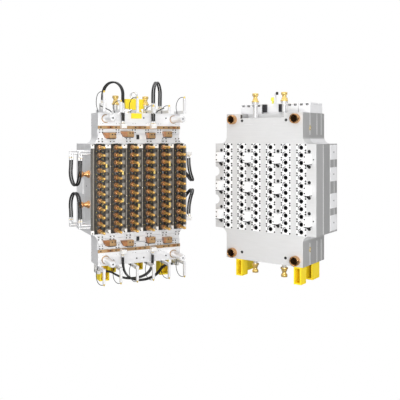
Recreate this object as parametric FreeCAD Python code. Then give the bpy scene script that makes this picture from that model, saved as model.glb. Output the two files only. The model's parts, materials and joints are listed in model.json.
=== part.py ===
import FreeCAD, Part

import math
import os

from FreeCAD import Placement, Rotation, Vector

# Injection mould for bottle preforms, standing open on the floor as two halves.
# The core half carries the cores, the stripper plate and the sliding neck rings.
# The cavity half carries the cavity inserts, the melt manifold plate and its heater boxes.
# Each half is drawn in its own frame: x to the right along the parting face, y into the
# half, z up from the middle of the rows. At the end both halves are turned and set on the floor.

# Stacks
column_count = 6
row_count = 12
row_pitch = 60.0

# Both halves
tab_height = 248.0
corner_radius = 57.0
foot_height = 139.0
pin_to_side = 61.0
pin_to_edge = 48.0
guide_pin_radius = 28.0
running_clearance = 0.05
slip = 0.3
fitting_sides = 8

# Standing places: turn in degrees, then x and y of the middle of the parting face
core_half_turn = 25.2
core_half_x = -441.0
core_half_y = 0.0
cavity_half_turn = -36.1
cavity_half_x = 557.6
cavity_half_y = 8.5

# Core half plates
core_half_width = 410.0
column_to_side = 71.0
column_to_tab_side = 13.0
rear_tab_inset = 112.0
stripper_thick = 78.0
core_plate_thick = 120.0
core_backing_thick = 125.0
core_clamp_thick = 126.0

# Cores and neck rings
core_radius = 10.5
core_reach = 140.0
core_tip_length = 9.0
neck_ring_radius = 20.0
neck_ring_nose_radius = 15.5
neck_ring_height = 38.0
stack_sides = 6
core_clearance = 1.0
ring_split = 0.3

# Slides, their pockets and cover strips
slide_travel = 12.0
web_width = 8.0
pocket_depth = 26.3
cover_strip_width = 47.0
web_seat = 7.7
bar_step = 8.0
rib_gap = 0.8
cover_strip_thick = 11.7
column_end_margin = 24.0
band_margin = 4.0
channel_gap = 3.0
channel_height = 121.0
tie_left_rise = 35.0
tie_height = 42.0
tie_gap = 4.0
tongue_width = 20.0
tongue_front = 17.0
tongue_lap = 10.0

# Bronze wear strips and cam blocks
wear_strip_height = 24.0
wear_strip_proud = 2.0
cam_width = 56.0
cam_height = 52.0
cam_depth = 44.0
cam_outer_x = 240.0
cam_inner_x = 93.0
cam_left_rise = 43.0
cam_right_rise = 55.0
cam_relief = 0.6
cam_hole_radius = 5.0

# Guide pins and bushes
pin_reach = 200.0
pin_socket = 60.0
pin_nose = 14.0
pin_rear_margin = 1.0
pin_bush_radius = 38.0
pin_bush_flange_radius = 44.0
pin_bush_flange = 8.0
cavity_bush_radius = 36.0
cavity_bush_collar_radius = 43.0
cavity_bush_proud = 40.0

# Finger arms, one above and one below each column
arm_size = 22.0
arm_rear = 66.0
arm_reach = 130.0
arm_post_size = 18.0
arm_tip_height = 16.0
arm_top_rises = [165.0, 97.0, 128.0, 64.0, 67.0, 139.0]
arm_bottom_drop = 129.0
arm_tube_radius = 3.0

# Core half fittings
lifting_head_height = 122.0
eye_ring_radius = 26.0
eye_bar_radius = 8.0
eye_sides = 12
coupling_body_radius = 20.0
coupling_neck_radius = 15.0
coupling_lip_radius = 23.0
coupling_length = 75.0
pipe_radius = 16.0
core_coupling_y = 150.0
core_coupling_left_x = -162.0
core_coupling_right_x = 100.0
core_pipe_height = 72.0
side_coupling_y = 50.0
side_coupling_z = 120.0
side_cover_low = -52.0
side_cover_high = 70.0

# Hoses between the fixed plates and the stripper plate, in pairs
hose_radius = 7.5
hose_steps = {
    "hose_top_left": (15.0, 10.0),
    "hose_top_right": (14.5, -10.6),
    "hose_bottom_left": (0.0, -20.0),
    "hose_bottom_right": (0.0, -20.0),
    "hose_side_left": (18.0, 0.0),
    "hose_side_right": (19.0, 0.0),
}
ferrule_radius = 8.7
ferrule_length = 26.0
elbow_radius = 8.0
elbow_bend = 18.0
port_rise = 4.0
port_height = 33.0
port_depth = 56.0
port_margin = 14.0
port_x_left = -160.0
port_x_right = 94.0
port_y = -25.0
fixed_port_y = 150.0
fixed_port_left_x = -277.0
fixed_port_right_x = 222.0
fixed_port_left_height = 83.0
fixed_port_right_height = 44.0
foot_port_inset = 28.0
foot_port_y = 50.0
foot_port_below = 44.0
foot_port_drop = 8.0
elbow_high = 300.0
elbow_low = 280.0
elbow_end = 256.0
side_port_low = 262.0
side_port_high = 290.0
side_fixed_port_low = 232.0
side_fixed_port_high = 260.0

# Cavity half plates
cavity_half_width = 466.0
cavity_tab_overhang = 1.0
cavity_plate_thick = 128.0
manifold_plate_thick = 130.0
cavity_backing_thick = 82.0
cavity_clamp_thick = 60.0
top_recess_left = -200.0
top_recess_right = 185.0
top_recess_depth = 36.0
top_recess_back = 100.0
edge_notch_radius = 40.0

# Cavity inserts
insert_length = 100.0
insert_proud = 2.0
cavity_bore_radius = 16.0
cavity_bore_depth = 92.0
insert_gap = 0.4

# Lock blocks on the parting face
lock_width = 49.0
lock_height = 84.0
lock_proud = 60.0
lock_row_pitch = 240.0

# Cavity half fittings
cavity_coupling_y = 60.0
cavity_coupling_left_x = -108.0
cavity_coupling_right_x = 160.0
cavity_pipe_rise = 94.0
cavity_root_drop = 31.0
heater_box_height = 86.0
heater_box_front = 150.0
heater_box_back = 385.0
heater_box_chamfer = 6.0
side_cover_thick = 5.0
locating_ring_radius = 100.0
locating_ring_proud = 15.0
locating_flange_radius = 120.0
locating_seat_depth = 6.0
locating_seat_clearance = 0.3
nozzle_bore_radius = 22.0
sprue_radius = 20.0

# Places worked out from the sizes above
column_pitch = 2 * (core_half_width - column_to_side) / (column_count - 1)
column_x = [(k - (column_count - 1) / 2.0) * column_pitch for k in range(column_count)]
core_tab_half_width = column_x[-1] + column_to_tab_side
rear_tab_half_width = core_tab_half_width - rear_tab_inset
cavity_tab_half_width = core_tab_half_width + cavity_tab_overhang
pin_x = core_tab_half_width - pin_to_side
pocket_half_width = (column_pitch - web_width) / 2
window_half_width = (column_pitch - cover_strip_width) / 2
bar_rib_outer = window_half_width - slide_travel - rib_gap
insert_width = column_pitch - lock_width - 2 * slip
row_z = [((row_count - 1) / 2.0 - j) * row_pitch for j in range(row_count)]
stack_half_height = row_z[0] + column_end_margin
band_half_height = stack_half_height + band_margin
face_half_height = band_half_height + tab_height
channel_start = stack_half_height + channel_gap
channel_end = channel_start + channel_height
tie_left_low = channel_start + tie_left_rise
tie_left_high = tie_left_low + tie_height
tie_right_low = tie_left_high + tie_gap
cam_left_low = channel_start + cam_left_rise
cam_right_low = channel_start + cam_right_rise
port_start = channel_end + port_rise
foot_port_x = core_tab_half_width - foot_port_inset
foot_port_z = face_half_height + foot_port_below
pin_z = face_half_height - pin_to_edge
arm_top_heights = [face_half_height + rise for rise in arm_top_rises]
arm_bottom_depth = face_half_height + arm_bottom_drop
cavity_pipe_top = face_half_height + cavity_pipe_rise
core_plate_front = stripper_thick + slip
core_plate_back = core_plate_front + core_plate_thick
core_backing_back = core_plate_back + core_backing_thick
core_half_back = core_backing_back + core_clamp_thick
manifold_front = cavity_plate_thick
manifold_back = manifold_front + manifold_plate_thick
cavity_backing_back = manifold_back + cavity_backing_thick
cavity_half_back = cavity_backing_back + cavity_clamp_thick
floor_z = -face_half_height - foot_height
pin_places = [(sx * pin_x, sz * pin_z) for sx in (-1, 1) for sz in (-1, 1)]


def box(x0, x1, y0, y1, z0, z1):
    """Block between two corners."""
    return Part.makeBox(x1 - x0, y1 - y0, z1 - z0, Vector(x0, y0, z0))


def rod(start, direction, radius, length):
    """Cylinder from a point along a direction."""
    return Part.makeCylinder(radius, length, Vector(*start), Vector(*direction))


def corners(start, direction, radius, distance, sides):
    """Corners of a regular outline at a radius, square to a direction."""
    place = Placement(Vector(*start), Rotation(Vector(0, 0, 1), Vector(*direction)))
    turns = [2 * math.pi * (i + 0.5) / sides for i in range(sides)]
    return [place.multVec(Vector(radius * math.cos(t), radius * math.sin(t), distance)) for t in turns]


def flat_face(points):
    return Part.Face(Part.makePolygon(list(points) + [points[0]]))


def bar(start, direction, radius, length, sides=fitting_sides, end_radius=None):
    """Straight bar with a regular section, tapered when it has another radius at its end."""
    first = corners(start, direction, radius, 0, sides)
    last = corners(start, direction, radius if end_radius is None else end_radius, length, sides)
    faces = [flat_face([first[i - 1], first[i], last[i], last[i - 1]]) for i in range(sides)]
    return Part.Solid(Part.Shell(faces + [flat_face(first), flat_face(last)]))


def flat_radius(radius, sides):
    """Corner radius of a regular outline whose flats lie at a radius."""
    return radius / math.cos(math.pi / sides)


def fuse(shapes):
    """One clean solid from shapes that touch."""
    whole = shapes[0].fuse(shapes[1:]) if len(shapes) > 1 else shapes[0]
    return whole.removeSplitter()


def group(shapes):
    """Separate solids kept together as one node."""
    return Part.makeCompound(shapes)


def turned(profile, start, direction):
    """Solid of revolution from (radius, distance) points, set along a direction."""
    points = [Vector(r, 0, h) for r, h in profile]
    wire = Part.makePolygon(points + [points[0]])
    solid = Part.Face(wire).revolve(Vector(0, 0, 0), Vector(0, 0, 1), 360)
    solid.Placement = Placement(Vector(*start), Rotation(Vector(0, 0, 1), Vector(*direction)))
    return solid


def prism_xz(points, y0, y1):
    """Profile in the x-z plane, extruded from y0 to y1."""
    wire = Part.makePolygon([Vector(x, y0, z) for x, z in points + [points[0]]])
    return Part.Face(wire).extrude(Vector(0, y1 - y0, 0))


def cross_plate(half_width, tab_half_width, y0, y1):
    """Plate with a wide middle band and a narrower tab above and below it."""
    r = corner_radius
    parts = [
        box(-half_width, half_width, y0, y1, -band_half_height, band_half_height),
        box(-tab_half_width, tab_half_width, y0, y1, -face_half_height, face_half_height),
    ]
    for sx in (-1, 1):
        for sz in (-1, 1):
            cx = sx * (tab_half_width + r)
            cz = sz * (band_half_height + r)
            corner = box(
                min(sx * tab_half_width, cx), max(sx * tab_half_width, cx), y0, y1,
                min(sz * band_half_height, cz), max(sz * band_half_height, cz),
            )
            parts.append(corner.cut(rod((cx, y0, cz), (0, 1, 0), r, y1 - y0)))
    return fuse(parts)


def coupling(start, direction):
    """Quick coupling for cooling water: flange, waist and round lip."""
    way = Vector(*direction)
    waist = Vector(*start) + way * (coupling_length * 0.3)
    lip = Vector(*start) + way * (coupling_length * 0.86)
    return fuse([
        bar(start, direction, coupling_body_radius, coupling_length * 0.3),
        bar(waist, direction, coupling_neck_radius, coupling_length * 0.56),
        rod(lip, direction, coupling_lip_radius, coupling_length * 0.14),
    ])


def mitred(points, radius, sides=stack_sides):
    """Bar along straight runs with mitred corners."""
    path = Part.makePolygon([Vector(*p) for p in points])
    way = Vector(*points[1]) - Vector(*points[0])
    outline = corners(points[0], way, radius, 0, sides)
    return path.makePipeShell([Part.makePolygon(outline + [outline[0]])], True, False, 1)


def tube(points, radius):
    """Round tube along straight runs joined by tangent arcs. Returns the tube and its smallest bend."""
    route = [Vector(*p) for p in points]
    edges = []
    bends = []
    start = route[0]
    for before, corner, after in zip(route, route[1:], route[2:]):
        way_in = (corner - before).normalize()
        way_out = (after - corner).normalize()
        turn = way_in.getAngle(way_out)
        back = 0.45 * min((corner - before).Length, (after - corner).Length)
        bends.append(back / math.tan(turn / 2))
        enter = corner - way_in * back
        leave = corner + way_out * back
        middle = corner + (way_out - way_in).normalize() * (bends[-1] / math.cos(turn / 2) - bends[-1])
        edges += [Part.LineSegment(start, enter).toShape(), Part.Arc(enter, middle, leave).toShape()]
        start = leave
    edges.append(Part.LineSegment(start, route[-1]).toShape())
    path = Part.Wire(edges)
    ring = Part.Wire(Part.makeCircle(radius, route[0], route[1] - route[0]))
    return path.makePipeShell([ring], True, False), min(bends), path.Length


def elbow(x, y, z_pipe, z_end):
    """Pipe that leaves the left side face and turns towards the middle of the mould."""
    inward = math.copysign(1, z_end - z_pipe)
    route = [(-core_half_width, y, z_pipe), (x + elbow_bend, y, z_pipe),
             (x, y, z_pipe + inward * elbow_bend)]
    if abs(z_end - route[-1][2]) > slip:
        route.append((x, y, z_end))
    return mitred(route, elbow_radius)


def ferrule(point, direction):
    """Crimped sleeve that ends at the hose."""
    start = Vector(*point) - Vector(*direction) * ferrule_length
    return bar(start, direction, ferrule_radius, ferrule_length, stack_sides)


# Core half

def stripper_plate():
    """Moving front plate with a pocket for each column of slides and a channel for the ties."""
    plate = cross_plate(core_half_width, core_tab_half_width, 0, stripper_thick)
    reach = core_half_width + slip
    cuts = [box(-reach, reach, -slip, web_seat, -channel_start, channel_start)]
    for x in column_x:
        cuts.append(box(x - pocket_half_width, x + pocket_half_width, web_seat, pocket_depth,
                        -channel_start, channel_start))
        cuts.append(box(x - column_end_margin, x + column_end_margin, pocket_depth, stripper_thick,
                        -stack_half_height, stack_half_height))
    for low, high in ((channel_start, channel_end), (-channel_end, -channel_start)):
        cuts.append(box(-reach, reach, -slip, pocket_depth, low, high))
    for sz in (-1, 1):
        low, high = sorted((sz * channel_end, sz * (channel_end + wear_strip_height)))
        cuts.append(box(-reach, reach, -slip, web_seat, low, high))
    for x, z in pin_places:
        cuts.append(bar((x, -slip, z), (0, 1, 0), pin_bush_radius, stripper_thick + 2 * slip))
    return plate.cut(cuts).removeSplitter()


def cover_strips():
    """Strips that hold the slides down, one on each web and one at each side."""
    strips = []
    front = web_seat - cover_strip_thick
    edges = [-core_half_width]
    for x in column_x:
        edges += [x - window_half_width, x + window_half_width]
    edges.append(core_half_width)
    for left, right in zip(edges[0::2], edges[1::2]):
        strips.append(box(left, right, front, web_seat, -stack_half_height, stack_half_height))
    return group(strips)


def wear_strips():
    """Bronze strips above and below the ties, on which the ties slide."""
    strips = []
    for sz in (-1, 1):
        low, high = sorted((sz * channel_end, sz * (channel_end + wear_strip_height)))
        strips.append(box(-core_tab_half_width, core_tab_half_width,
                          -wear_strip_proud, web_seat, low, high))
    return group(strips)


def slide_set(side):
    """Six slide bars of one side with the two ties that join them. side is -1 or 1."""
    inner = core_radius + core_clearance
    outer = pocket_half_width - slip - slide_travel
    bar_back = pocket_depth - slip
    tie_low = tie_left_low if side < 0 else tie_right_low
    tie_high = tie_left_high if side < 0 else channel_end - slip
    tongue_top = tongue_front if side < 0 else tongue_front + slip
    reach = core_tab_half_width - 1.0
    far = reach - slide_travel / 2.0
    parts = []
    for x in column_x:
        base = sorted((x + side * inner, x + side * outer))
        rib = sorted((x + side * inner, x + side * bar_rib_outer))
        root = sorted((x + side * ring_split, x + side * tongue_width))
        tongue = sorted((root[0], root[1]) if abs(x + side * tongue_width) < reach
                        else (x + side * ring_split, side * reach))
        parts.append(box(*base, bar_step, bar_back, -channel_start, channel_start))
        parts.append(box(*rib, 0, bar_step, -stack_half_height, stack_half_height))
        for sz in (-1, 1):
            low, high = sorted((sz * (stack_half_height - tongue_lap), sz * (channel_start + tongue_lap)))
            parts.append(box(*root, tongue_top, bar_back, low, high))
            low, high = sorted((sz * channel_start, sz * tie_high))
            parts.append(box(*tongue, tongue_top, bar_back, low, high))
    for sz in (-1, 1):
        low, high = sorted((sz * tie_low, sz * tie_high))
        left, right = sorted((side * reach, -side * far))
        parts.append(box(left, right, bar_step, tongue_top, low, high))
    return fuse(parts)


def on_every_stack(shape):
    """Copies of one piece, one per stack."""
    copies = []
    for x in column_x:
        for z in row_z:
            copy = shape.copy()
            copy.translate(Vector(x, 0, z))
            copies.append(copy)
    return copies


def neck_rings(side):
    """Halves of the split neck rings on the slides of one side."""
    bore = core_radius + flat_radius(core_clearance, stack_sides)
    reach = neck_ring_radius + 1.0
    ring = bar((0, 0, 0), (0, -1, 0), neck_ring_radius, neck_ring_height, stack_sides, neck_ring_nose_radius)
    hole = bar((0, slip, 0), (0, -1, 0), bore, neck_ring_height + 2 * slip, stack_sides)
    keep = sorted((side * ring_split / 2.0, side * reach))
    half = ring.cut(hole).common(box(*keep, -neck_ring_height, 0, -reach, reach))
    return group(on_every_stack(half))


def core_pins():
    """Water cooled cores with pointed tips, one per stack, seated on the core plate."""
    start, way = (0, core_plate_front, 0), (0, -1, 0)
    shank = core_plate_front + core_reach - core_tip_length
    seat = corners(start, way, core_radius, 0, stack_sides)
    shoulder = corners(start, way, core_radius, shank, stack_sides)
    tip = Vector(0, -core_reach, 0)
    faces = [flat_face(seat)]
    for i in range(stack_sides):
        faces.append(flat_face([seat[i - 1], seat[i], shoulder[i], shoulder[i - 1]]))
        faces.append(flat_face([shoulder[i - 1], shoulder[i], tip]))
    return group(on_every_stack(Part.Solid(Part.Shell(faces))))


def cam_blocks(side):
    """Bronze cam blocks on the ties of one side, relieved where they pass the other tie."""
    blocks = []
    centres = (-cam_outer_x, cam_inner_x) if side < 0 else (-cam_inner_x, cam_outer_x)
    low = cam_left_low if side < 0 else cam_right_low
    seam = (tie_left_high + tie_right_low) / 2.0
    for x in centres:
        for sz in (-1, 1):
            half = cam_width / 2.0
            profile = [(x - half, sz * (low + 14)), (x - half + 14, sz * low), (x + half - 14, sz * low),
                       (x + half, sz * (low + 14)), (x + half, sz * (low + cam_height)),
                       (x - half, sz * (low + cam_height))]
            block = prism_xz(profile, -(cam_depth - bar_step), bar_step)
            other = (seam, low + cam_height + slip) if side < 0 else (low - slip, seam)
            z0, z1 = sorted((sz * other[0], sz * other[1]))
            relief = box(x - half - slip, x + half + slip, bar_step - cam_relief, bar_step, z0, z1)
            holes = [bar((x + dx, -cam_depth, sz * (low + 30)), (0, 1, 0), cam_hole_radius,
                         cam_depth - 10.0, stack_sides) for dx in (-13, 13)]
            blocks.append(block.cut([relief] + holes))
    return group(blocks)


def core_plate():
    """Fixed plate behind the stripper that holds the cores and the guide pins."""
    plate = cross_plate(core_half_width, core_tab_half_width, core_plate_front, core_plate_back)
    sockets = [bar((x, core_plate_front, z), (0, 1, 0), guide_pin_radius, pin_socket) for x, z in pin_places]
    return plate.cut(sockets)


def guide_pins():
    """Guide pins with a tapered nose. The rear length in the plates has flats, the free length is round."""
    free = pin_bush_flange + pin_rear_margin
    seat = core_plate_front + pin_socket
    pins = []
    for x, z in pin_places:
        rear = bar((x, seat, z), (0, -1, 0), guide_pin_radius, seat + free)
        profile = [(0, 0), (guide_pin_radius, 0), (guide_pin_radius, pin_reach - pin_nose - free),
                   (guide_pin_radius - 6, pin_reach - free), (0, pin_reach - free)]
        pins.append(rear.fuse(turned(profile, (x, -free, z), (0, -1, 0))))
    return group(pins)


def pin_bushes():
    """Flanged bronze bushes in the stripper plate, running on the guide pins."""
    bore = flat_radius(guide_pin_radius + running_clearance, fitting_sides)
    length = pin_bush_flange + stripper_thick
    bushes = []
    for x, z in pin_places:
        start = (x, -pin_bush_flange, z)
        whole = fuse([bar(start, (0, 1, 0), pin_bush_flange_radius, pin_bush_flange),
                      bar(start, (0, 1, 0), pin_bush_radius, length)])
        bushes.append(whole.cut(bar(start, (0, 1, 0), bore, length)))
    return group(bushes)


def core_backing_plate():
    return cross_plate(core_half_width, rear_tab_half_width, core_plate_back, core_backing_back)


def core_clamp_plate():
    """Rear plate that is clamped to the machine platen."""
    return cross_plate(core_half_width, rear_tab_half_width, core_backing_back, core_half_back)


def channel_foot(x0, x1, y0, y1, top):
    """Foot bent from thick plate: two cheeks, a web and a sole."""
    wall = 12.0
    parts = [box(x0, x0 + wall, y0, y1, floor_z, top), box(x1 - wall, x1, y0, y1, floor_z, top),
             box(x0, x1, y1 - wall, y1, floor_z, top), box(x0, x1, y0, y1, top - wall, top),
             box(x0, x1, y0, y1, floor_z, floor_z + wall)]
    return fuse(parts)


def core_feet():
    front, back = core_plate_front + 4.0, core_plate_front + 96.0
    rear_front, rear_back = core_half_back - 104.0, core_half_back - 20.0
    side, rear_side, top = core_tab_half_width, rear_tab_half_width, -face_half_height
    return group([
        channel_foot(37 - side, 117 - side, front, back, top),
        channel_foot(side - 147, side - 67, front, back, top),
        channel_foot(90 - rear_side, 145 - rear_side, rear_front, rear_back, top),
        channel_foot(rear_side - 145, rear_side - 90, rear_front, rear_back, top),
    ])


def lifting_bridge():
    """Lifting bracket on top of the core plate."""
    y0, y1 = core_plate_front + 60.0, core_plate_front + 105.0
    base, neck = face_half_height, face_half_height + 36.0
    head = face_half_height + lifting_head_height
    profile = [(-52, base), (76, base), (54, neck), (80, neck + 8), (80, head), (-78, head),
               (-78, neck + 8), (-30, neck)]
    return prism_xz(profile, y0, y1)


def lifting_eye():
    """Eye bolt screwed into the head of the bracket."""
    y = core_plate_front + 82.5 - eye_bar_radius
    seat = face_half_height + lifting_head_height
    middle = (0, y, seat + eye_ring_radius + eye_bar_radius)
    outer = bar(middle, (0, 1, 0), eye_ring_radius + eye_bar_radius, 2 * eye_bar_radius, eye_sides)
    inner = bar(middle, (0, 1, 0), eye_ring_radius - eye_bar_radius, 2 * eye_bar_radius, eye_sides)
    shank = box(-eye_bar_radius, eye_bar_radius, y, y + 2 * eye_bar_radius, seat, seat + eye_bar_radius)
    return fuse([outer.cut(inner), shank])


def core_pipes():
    """Water pipes that stand on the core plate and carry the top couplings."""
    return group([bar((x, core_coupling_y, face_half_height), (0, 0, 1), pipe_radius, core_pipe_height)
                  for x in (core_coupling_left_x, core_coupling_right_x)])


def core_couplings():
    z = face_half_height + core_pipe_height
    return group([coupling((x, core_coupling_y, z), (0, 0, 1))
                  for x in (core_coupling_left_x, core_coupling_right_x)])


def side_couplings():
    """Quick couplings on the left side of the stripper plate."""
    return group([coupling((-core_half_width, side_coupling_y, sz * side_coupling_z), (-1, 0, 0))
                  for sz in (-1, 1)])


def finger_arms():
    """Square bars on the stripper plate, one above and below each column, with an upright post."""
    arms = []
    for k, x in enumerate(column_x):
        for sz in (-1, 1):
            end = arm_top_heights[k] if sz > 0 else arm_bottom_depth
            end -= arm_tip_height
            z0, z1 = sorted((sz * face_half_height, sz * (face_half_height + arm_size)))
            bar = box(x - arm_size / 2, x + arm_size / 2, -arm_reach, arm_rear, z0, z1)
            p0, p1 = sorted((sz * face_half_height, sz * end))
            half = arm_post_size / 2
            post = box(x - half, x + half, -arm_reach, arm_post_size - arm_reach, p0, p1)
            arms.append(fuse([bar, post]))
    return group(arms)


def finger_tips():
    """Caps on the posts."""
    tips = []
    for k, x in enumerate(column_x):
        for sz in (-1, 1):
            end = arm_top_heights[k] if sz > 0 else arm_bottom_depth
            y = arm_post_size / 2 - arm_reach
            tips.append(bar((x, y, sz * (end - arm_tip_height)), (0, 0, sz), 9.0, arm_tip_height,
                            stack_sides, 6.0))
    return group(tips)


def finger_tubes():
    """Thin air tubes from the rear of each finger arm to the head of its post."""
    tubes = []
    for k, x in enumerate(column_x):
        for sz in (-1, 1):
            end = arm_top_heights[k] if sz > 0 else arm_bottom_depth
            low = face_half_height + arm_size
            high = end - arm_tip_height - 2 * arm_tube_radius if sz > 0 else low + 16
            post = arm_post_size - arm_reach
            corner = max(high + 4, low + 20)
            route = [(x, -6, sz * low), (x, -6, sz * (low + 12)), (x, -40, sz * corner),
                     (x, post + slip, sz * high)]
            tubes.append(mitred(route, arm_tube_radius))
    return group(tubes)


def core_side_cover():
    """Cover plate on the left side of the fixed plates."""
    return box(-core_half_width - side_cover_thick, -core_half_width, core_plate_back + 32,
               core_half_back - 20, side_cover_low, side_cover_high)


def hose_routes():
    """Points of the first hose of each pair, from the stripper plate to the fixed plates."""
    top = port_start + port_height + ferrule_length
    left_end = face_half_height + fixed_port_left_height + ferrule_length
    right_end = face_half_height + fixed_port_right_height + ferrule_length
    foot_end = foot_port_x - ferrule_length
    side_end = elbow_end - ferrule_length
    moving_end = side_port_low - ferrule_length
    fixed_end = side_fixed_port_low - ferrule_length
    x_left, x_right, y = port_x_left, port_x_right, port_y
    x_fixed_left, x_fixed_right, y_fixed = fixed_port_left_x, fixed_port_right_x, fixed_port_y
    low_left, low_right = -foot_port_z - foot_port_drop, -foot_port_z
    edge, side = face_half_height, core_half_width
    routes = {
        "hose_top_left": [
            (x_left, y, top), (x_left, y, edge - 5), (-164, -27, edge + 92), (-160, -22, edge + 187),
            (-194, 26, edge + 249), (-243, 98, edge + 249), (x_fixed_left, y_fixed, edge + 187),
            (x_fixed_left, y_fixed, left_end)],
        "hose_top_right": [
            (x_right, y, top), (x_right, y, edge), (92, -28, edge + 98), (95, -22, edge + 197),
            (136, 30, edge + 261), (186, 102, edge + 261), (226, 154, edge + 197),
            (x_fixed_right, y_fixed, edge + 133), (x_fixed_right, y_fixed, right_end)],
        "hose_bottom_left": [
            (x_left, y, -top), (x_left, y, 14 - edge), (-152, -32, -49 - edge), (-114, -46, -100 - edge),
            (-54, -56, -124 - edge), (20, -54, -126 - edge), (88, -36, -116 - edge), (150, -2, -96 - edge),
            (197, 34, -64 - edge), (foot_end - 53, foot_port_y, low_right), (foot_end, foot_port_y, low_right)],
        "hose_bottom_right": [
            (x_right, y, -top), (x_right, y, 18 - edge), (88, -26, -38 - edge), (54, -22, -86 - edge),
            (-4, -14, -112 - edge), (-74, 0, -120 - edge), (-142, 18, -112 - edge), (-198, 38, -86 - edge),
            (54 - foot_end, foot_port_y, low_left), (-foot_end, foot_port_y, low_left)],
    }
    left_loop = [(90, 16, side_end), (90, 16, 182), (94, 17, 92), (100, 58, 34), (110, 132, 26),
                 (120, 182, 76), (124, 188, 136), (120, 184, 184), (120, 184, side_end)]
    right_loop = [(20, 18, moving_end), (20, 18, 186), (36, 20, 104), (72, 50, 50), (94, 112, 32),
                  (84, 170, 70), (50, 190, 124), (24, 184, 164), (24, 184, fixed_end)]
    for sz, name in ((1, "_upper"), (-1, "_lower")):
        routes["hose_side_left" + name] = [(-side - out, y, sz * z) for out, y, z in left_loop]
        routes["hose_side_right" + name] = [(side + out, y, sz * z) for out, y, z in right_loop]
    return routes


def hose_step(name):
    """Sideways step from the first hose of a pair to the second."""
    x, y = next(step for start, step in hose_steps.items() if name.startswith(start))
    return Vector(x, y, 0)


def hose_pairs():
    """Route of every hose by name, the second of a pair beside the first."""
    pairs = {}
    for name, route in hose_routes().items():
        pairs[name + "_1"] = route
        pairs[name + "_2"] = [tuple(Vector(*p) + hose_step(name)) for p in route]
    return pairs


def hose_ends(last):
    """End point of each hose and the direction in which it leaves its port."""
    ends = []
    for route in hose_pairs().values():
        tip, beside = (route[-1], route[-2]) if last else (route[0], route[1])
        ends.append((tip, tuple((Vector(*beside) - Vector(*tip)).normalize())))
    return ends


def pair_span(x, name):
    """Left and right side of a block that takes both hoses of a pair."""
    other = x + hose_step(name).x
    return min(x, other) - port_margin, max(x, other) + port_margin


def side_elbows(side_pair, index):
    """Both elbows of one pair of hoses on the left side, one inside the other."""
    ends = sorted(hose_pairs()[side_pair + mark][index] for mark in ("_1", "_2"))
    sz = math.copysign(1, ends[0][2])
    return [elbow(x, y, sz * z, sz * elbow_end) for (x, y, _), z in zip(ends, (elbow_high, elbow_low))]


def ports_on_stripper():
    """Blocks, elbows and sleeves that join the hoses to the stripper plate."""
    shapes = [ferrule(*end) for end in hose_ends(False)]
    back = -wear_strip_proud
    for x, name in ((port_x_left, "hose_top_left"), (port_x_right, "hose_top_right")):
        for sz in (-1, 1):
            low, high = sorted((sz * port_start, sz * (port_start + port_height)))
            shapes.append(box(*pair_span(x, name), back - port_depth, back, low, high))
    for sz in (-1, 1):
        low, high = sorted((sz * side_port_low, sz * side_port_high))
        shapes.append(box(core_half_width, core_half_width + 54, 4, 34, low, high))
    shapes += side_elbows("hose_side_left_upper", 0) + side_elbows("hose_side_left_lower", 0)
    return group(shapes)


def foot_port(side, z):
    """Bracket below the core plate that takes a pair of hoses from the side."""
    inner, outer = sorted((side * foot_port_x, side * (foot_port_x + 28)))
    back = core_plate_front + 42
    hanger = box(inner, outer, core_plate_front + 4, back, z - port_margin, -face_half_height)
    front = foot_port_y + hose_step("hose_bottom_left").y - 12
    return fuse([hanger, box(inner, outer, front, back, z - port_margin, z + port_margin)])


def ports_on_plates():
    """Blocks, elbows and sleeves that join the hoses to the fixed plates."""
    shapes = [ferrule(*end) for end in hose_ends(True)]
    for x, height, name in ((fixed_port_left_x, fixed_port_left_height, "hose_top_left"),
                            (fixed_port_right_x, fixed_port_right_height, "hose_top_right")):
        shapes.append(box(*pair_span(x, name), fixed_port_y - 30, fixed_port_y + 34,
                          face_half_height, face_half_height + height))
    shapes += [foot_port(1, -foot_port_z), foot_port(-1, -foot_port_z - foot_port_drop)]
    for sz in (-1, 1):
        low, high = sorted((sz * side_fixed_port_low, sz * side_fixed_port_high))
        shapes.append(box(core_half_width, core_half_width + 56, core_plate_back - 32, core_plate_back - 2,
                          low, high))
    shapes += side_elbows("hose_side_left_upper", -1) + side_elbows("hose_side_left_lower", -1)
    return group(shapes)


# Cavity half

def cavity_plate():
    """Front plate with a pocket for each column of inserts."""
    plate = cross_plate(cavity_half_width, cavity_tab_half_width, 0, cavity_plate_thick)
    cuts = [box(x - insert_width / 2, x + insert_width / 2, -slip, insert_length,
                -row_count * row_pitch / 2, row_count * row_pitch / 2) for x in column_x]
    cuts.append(box(top_recess_left, top_recess_right, -slip, top_recess_back,
                    face_half_height - top_recess_depth, face_half_height + slip))
    for sz in (-1, 1):
        cuts.append(rod((-cavity_half_width, -slip, sz * side_coupling_z), (0, 1, 0),
                        edge_notch_radius, cavity_plate_thick + 2 * slip))
    for x, z in pin_places:
        cuts.append(bar((x, -slip, z), (0, 1, 0), cavity_bush_radius, cavity_plate_thick + 2 * slip))
    return plate.cut(cuts)


def cavity_insert(bore):
    half = (row_pitch - insert_gap) / 2
    block = box(-insert_width / 2, insert_width / 2, -insert_proud, insert_length, -half, half)
    return block.cut(bore)


def cavity_inserts():
    """One insert per stack with a blind bore. One bore near the middle is round, the others have flats."""
    start, depth = (0, -insert_proud, 0), cavity_bore_depth + insert_proud
    inserts = on_every_stack(cavity_insert(bar(start, (0, 1, 0), cavity_bore_radius, depth, stack_sides)))
    round_bored = cavity_insert(rod(start, (0, 1, 0), cavity_bore_radius, depth))
    column, row = column_count // 2, row_count // 2 - 1
    round_bored.translate(Vector(column_x[column], 0, row_z[row]))
    inserts[column * row_count + row] = round_bored
    return group(inserts)


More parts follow.
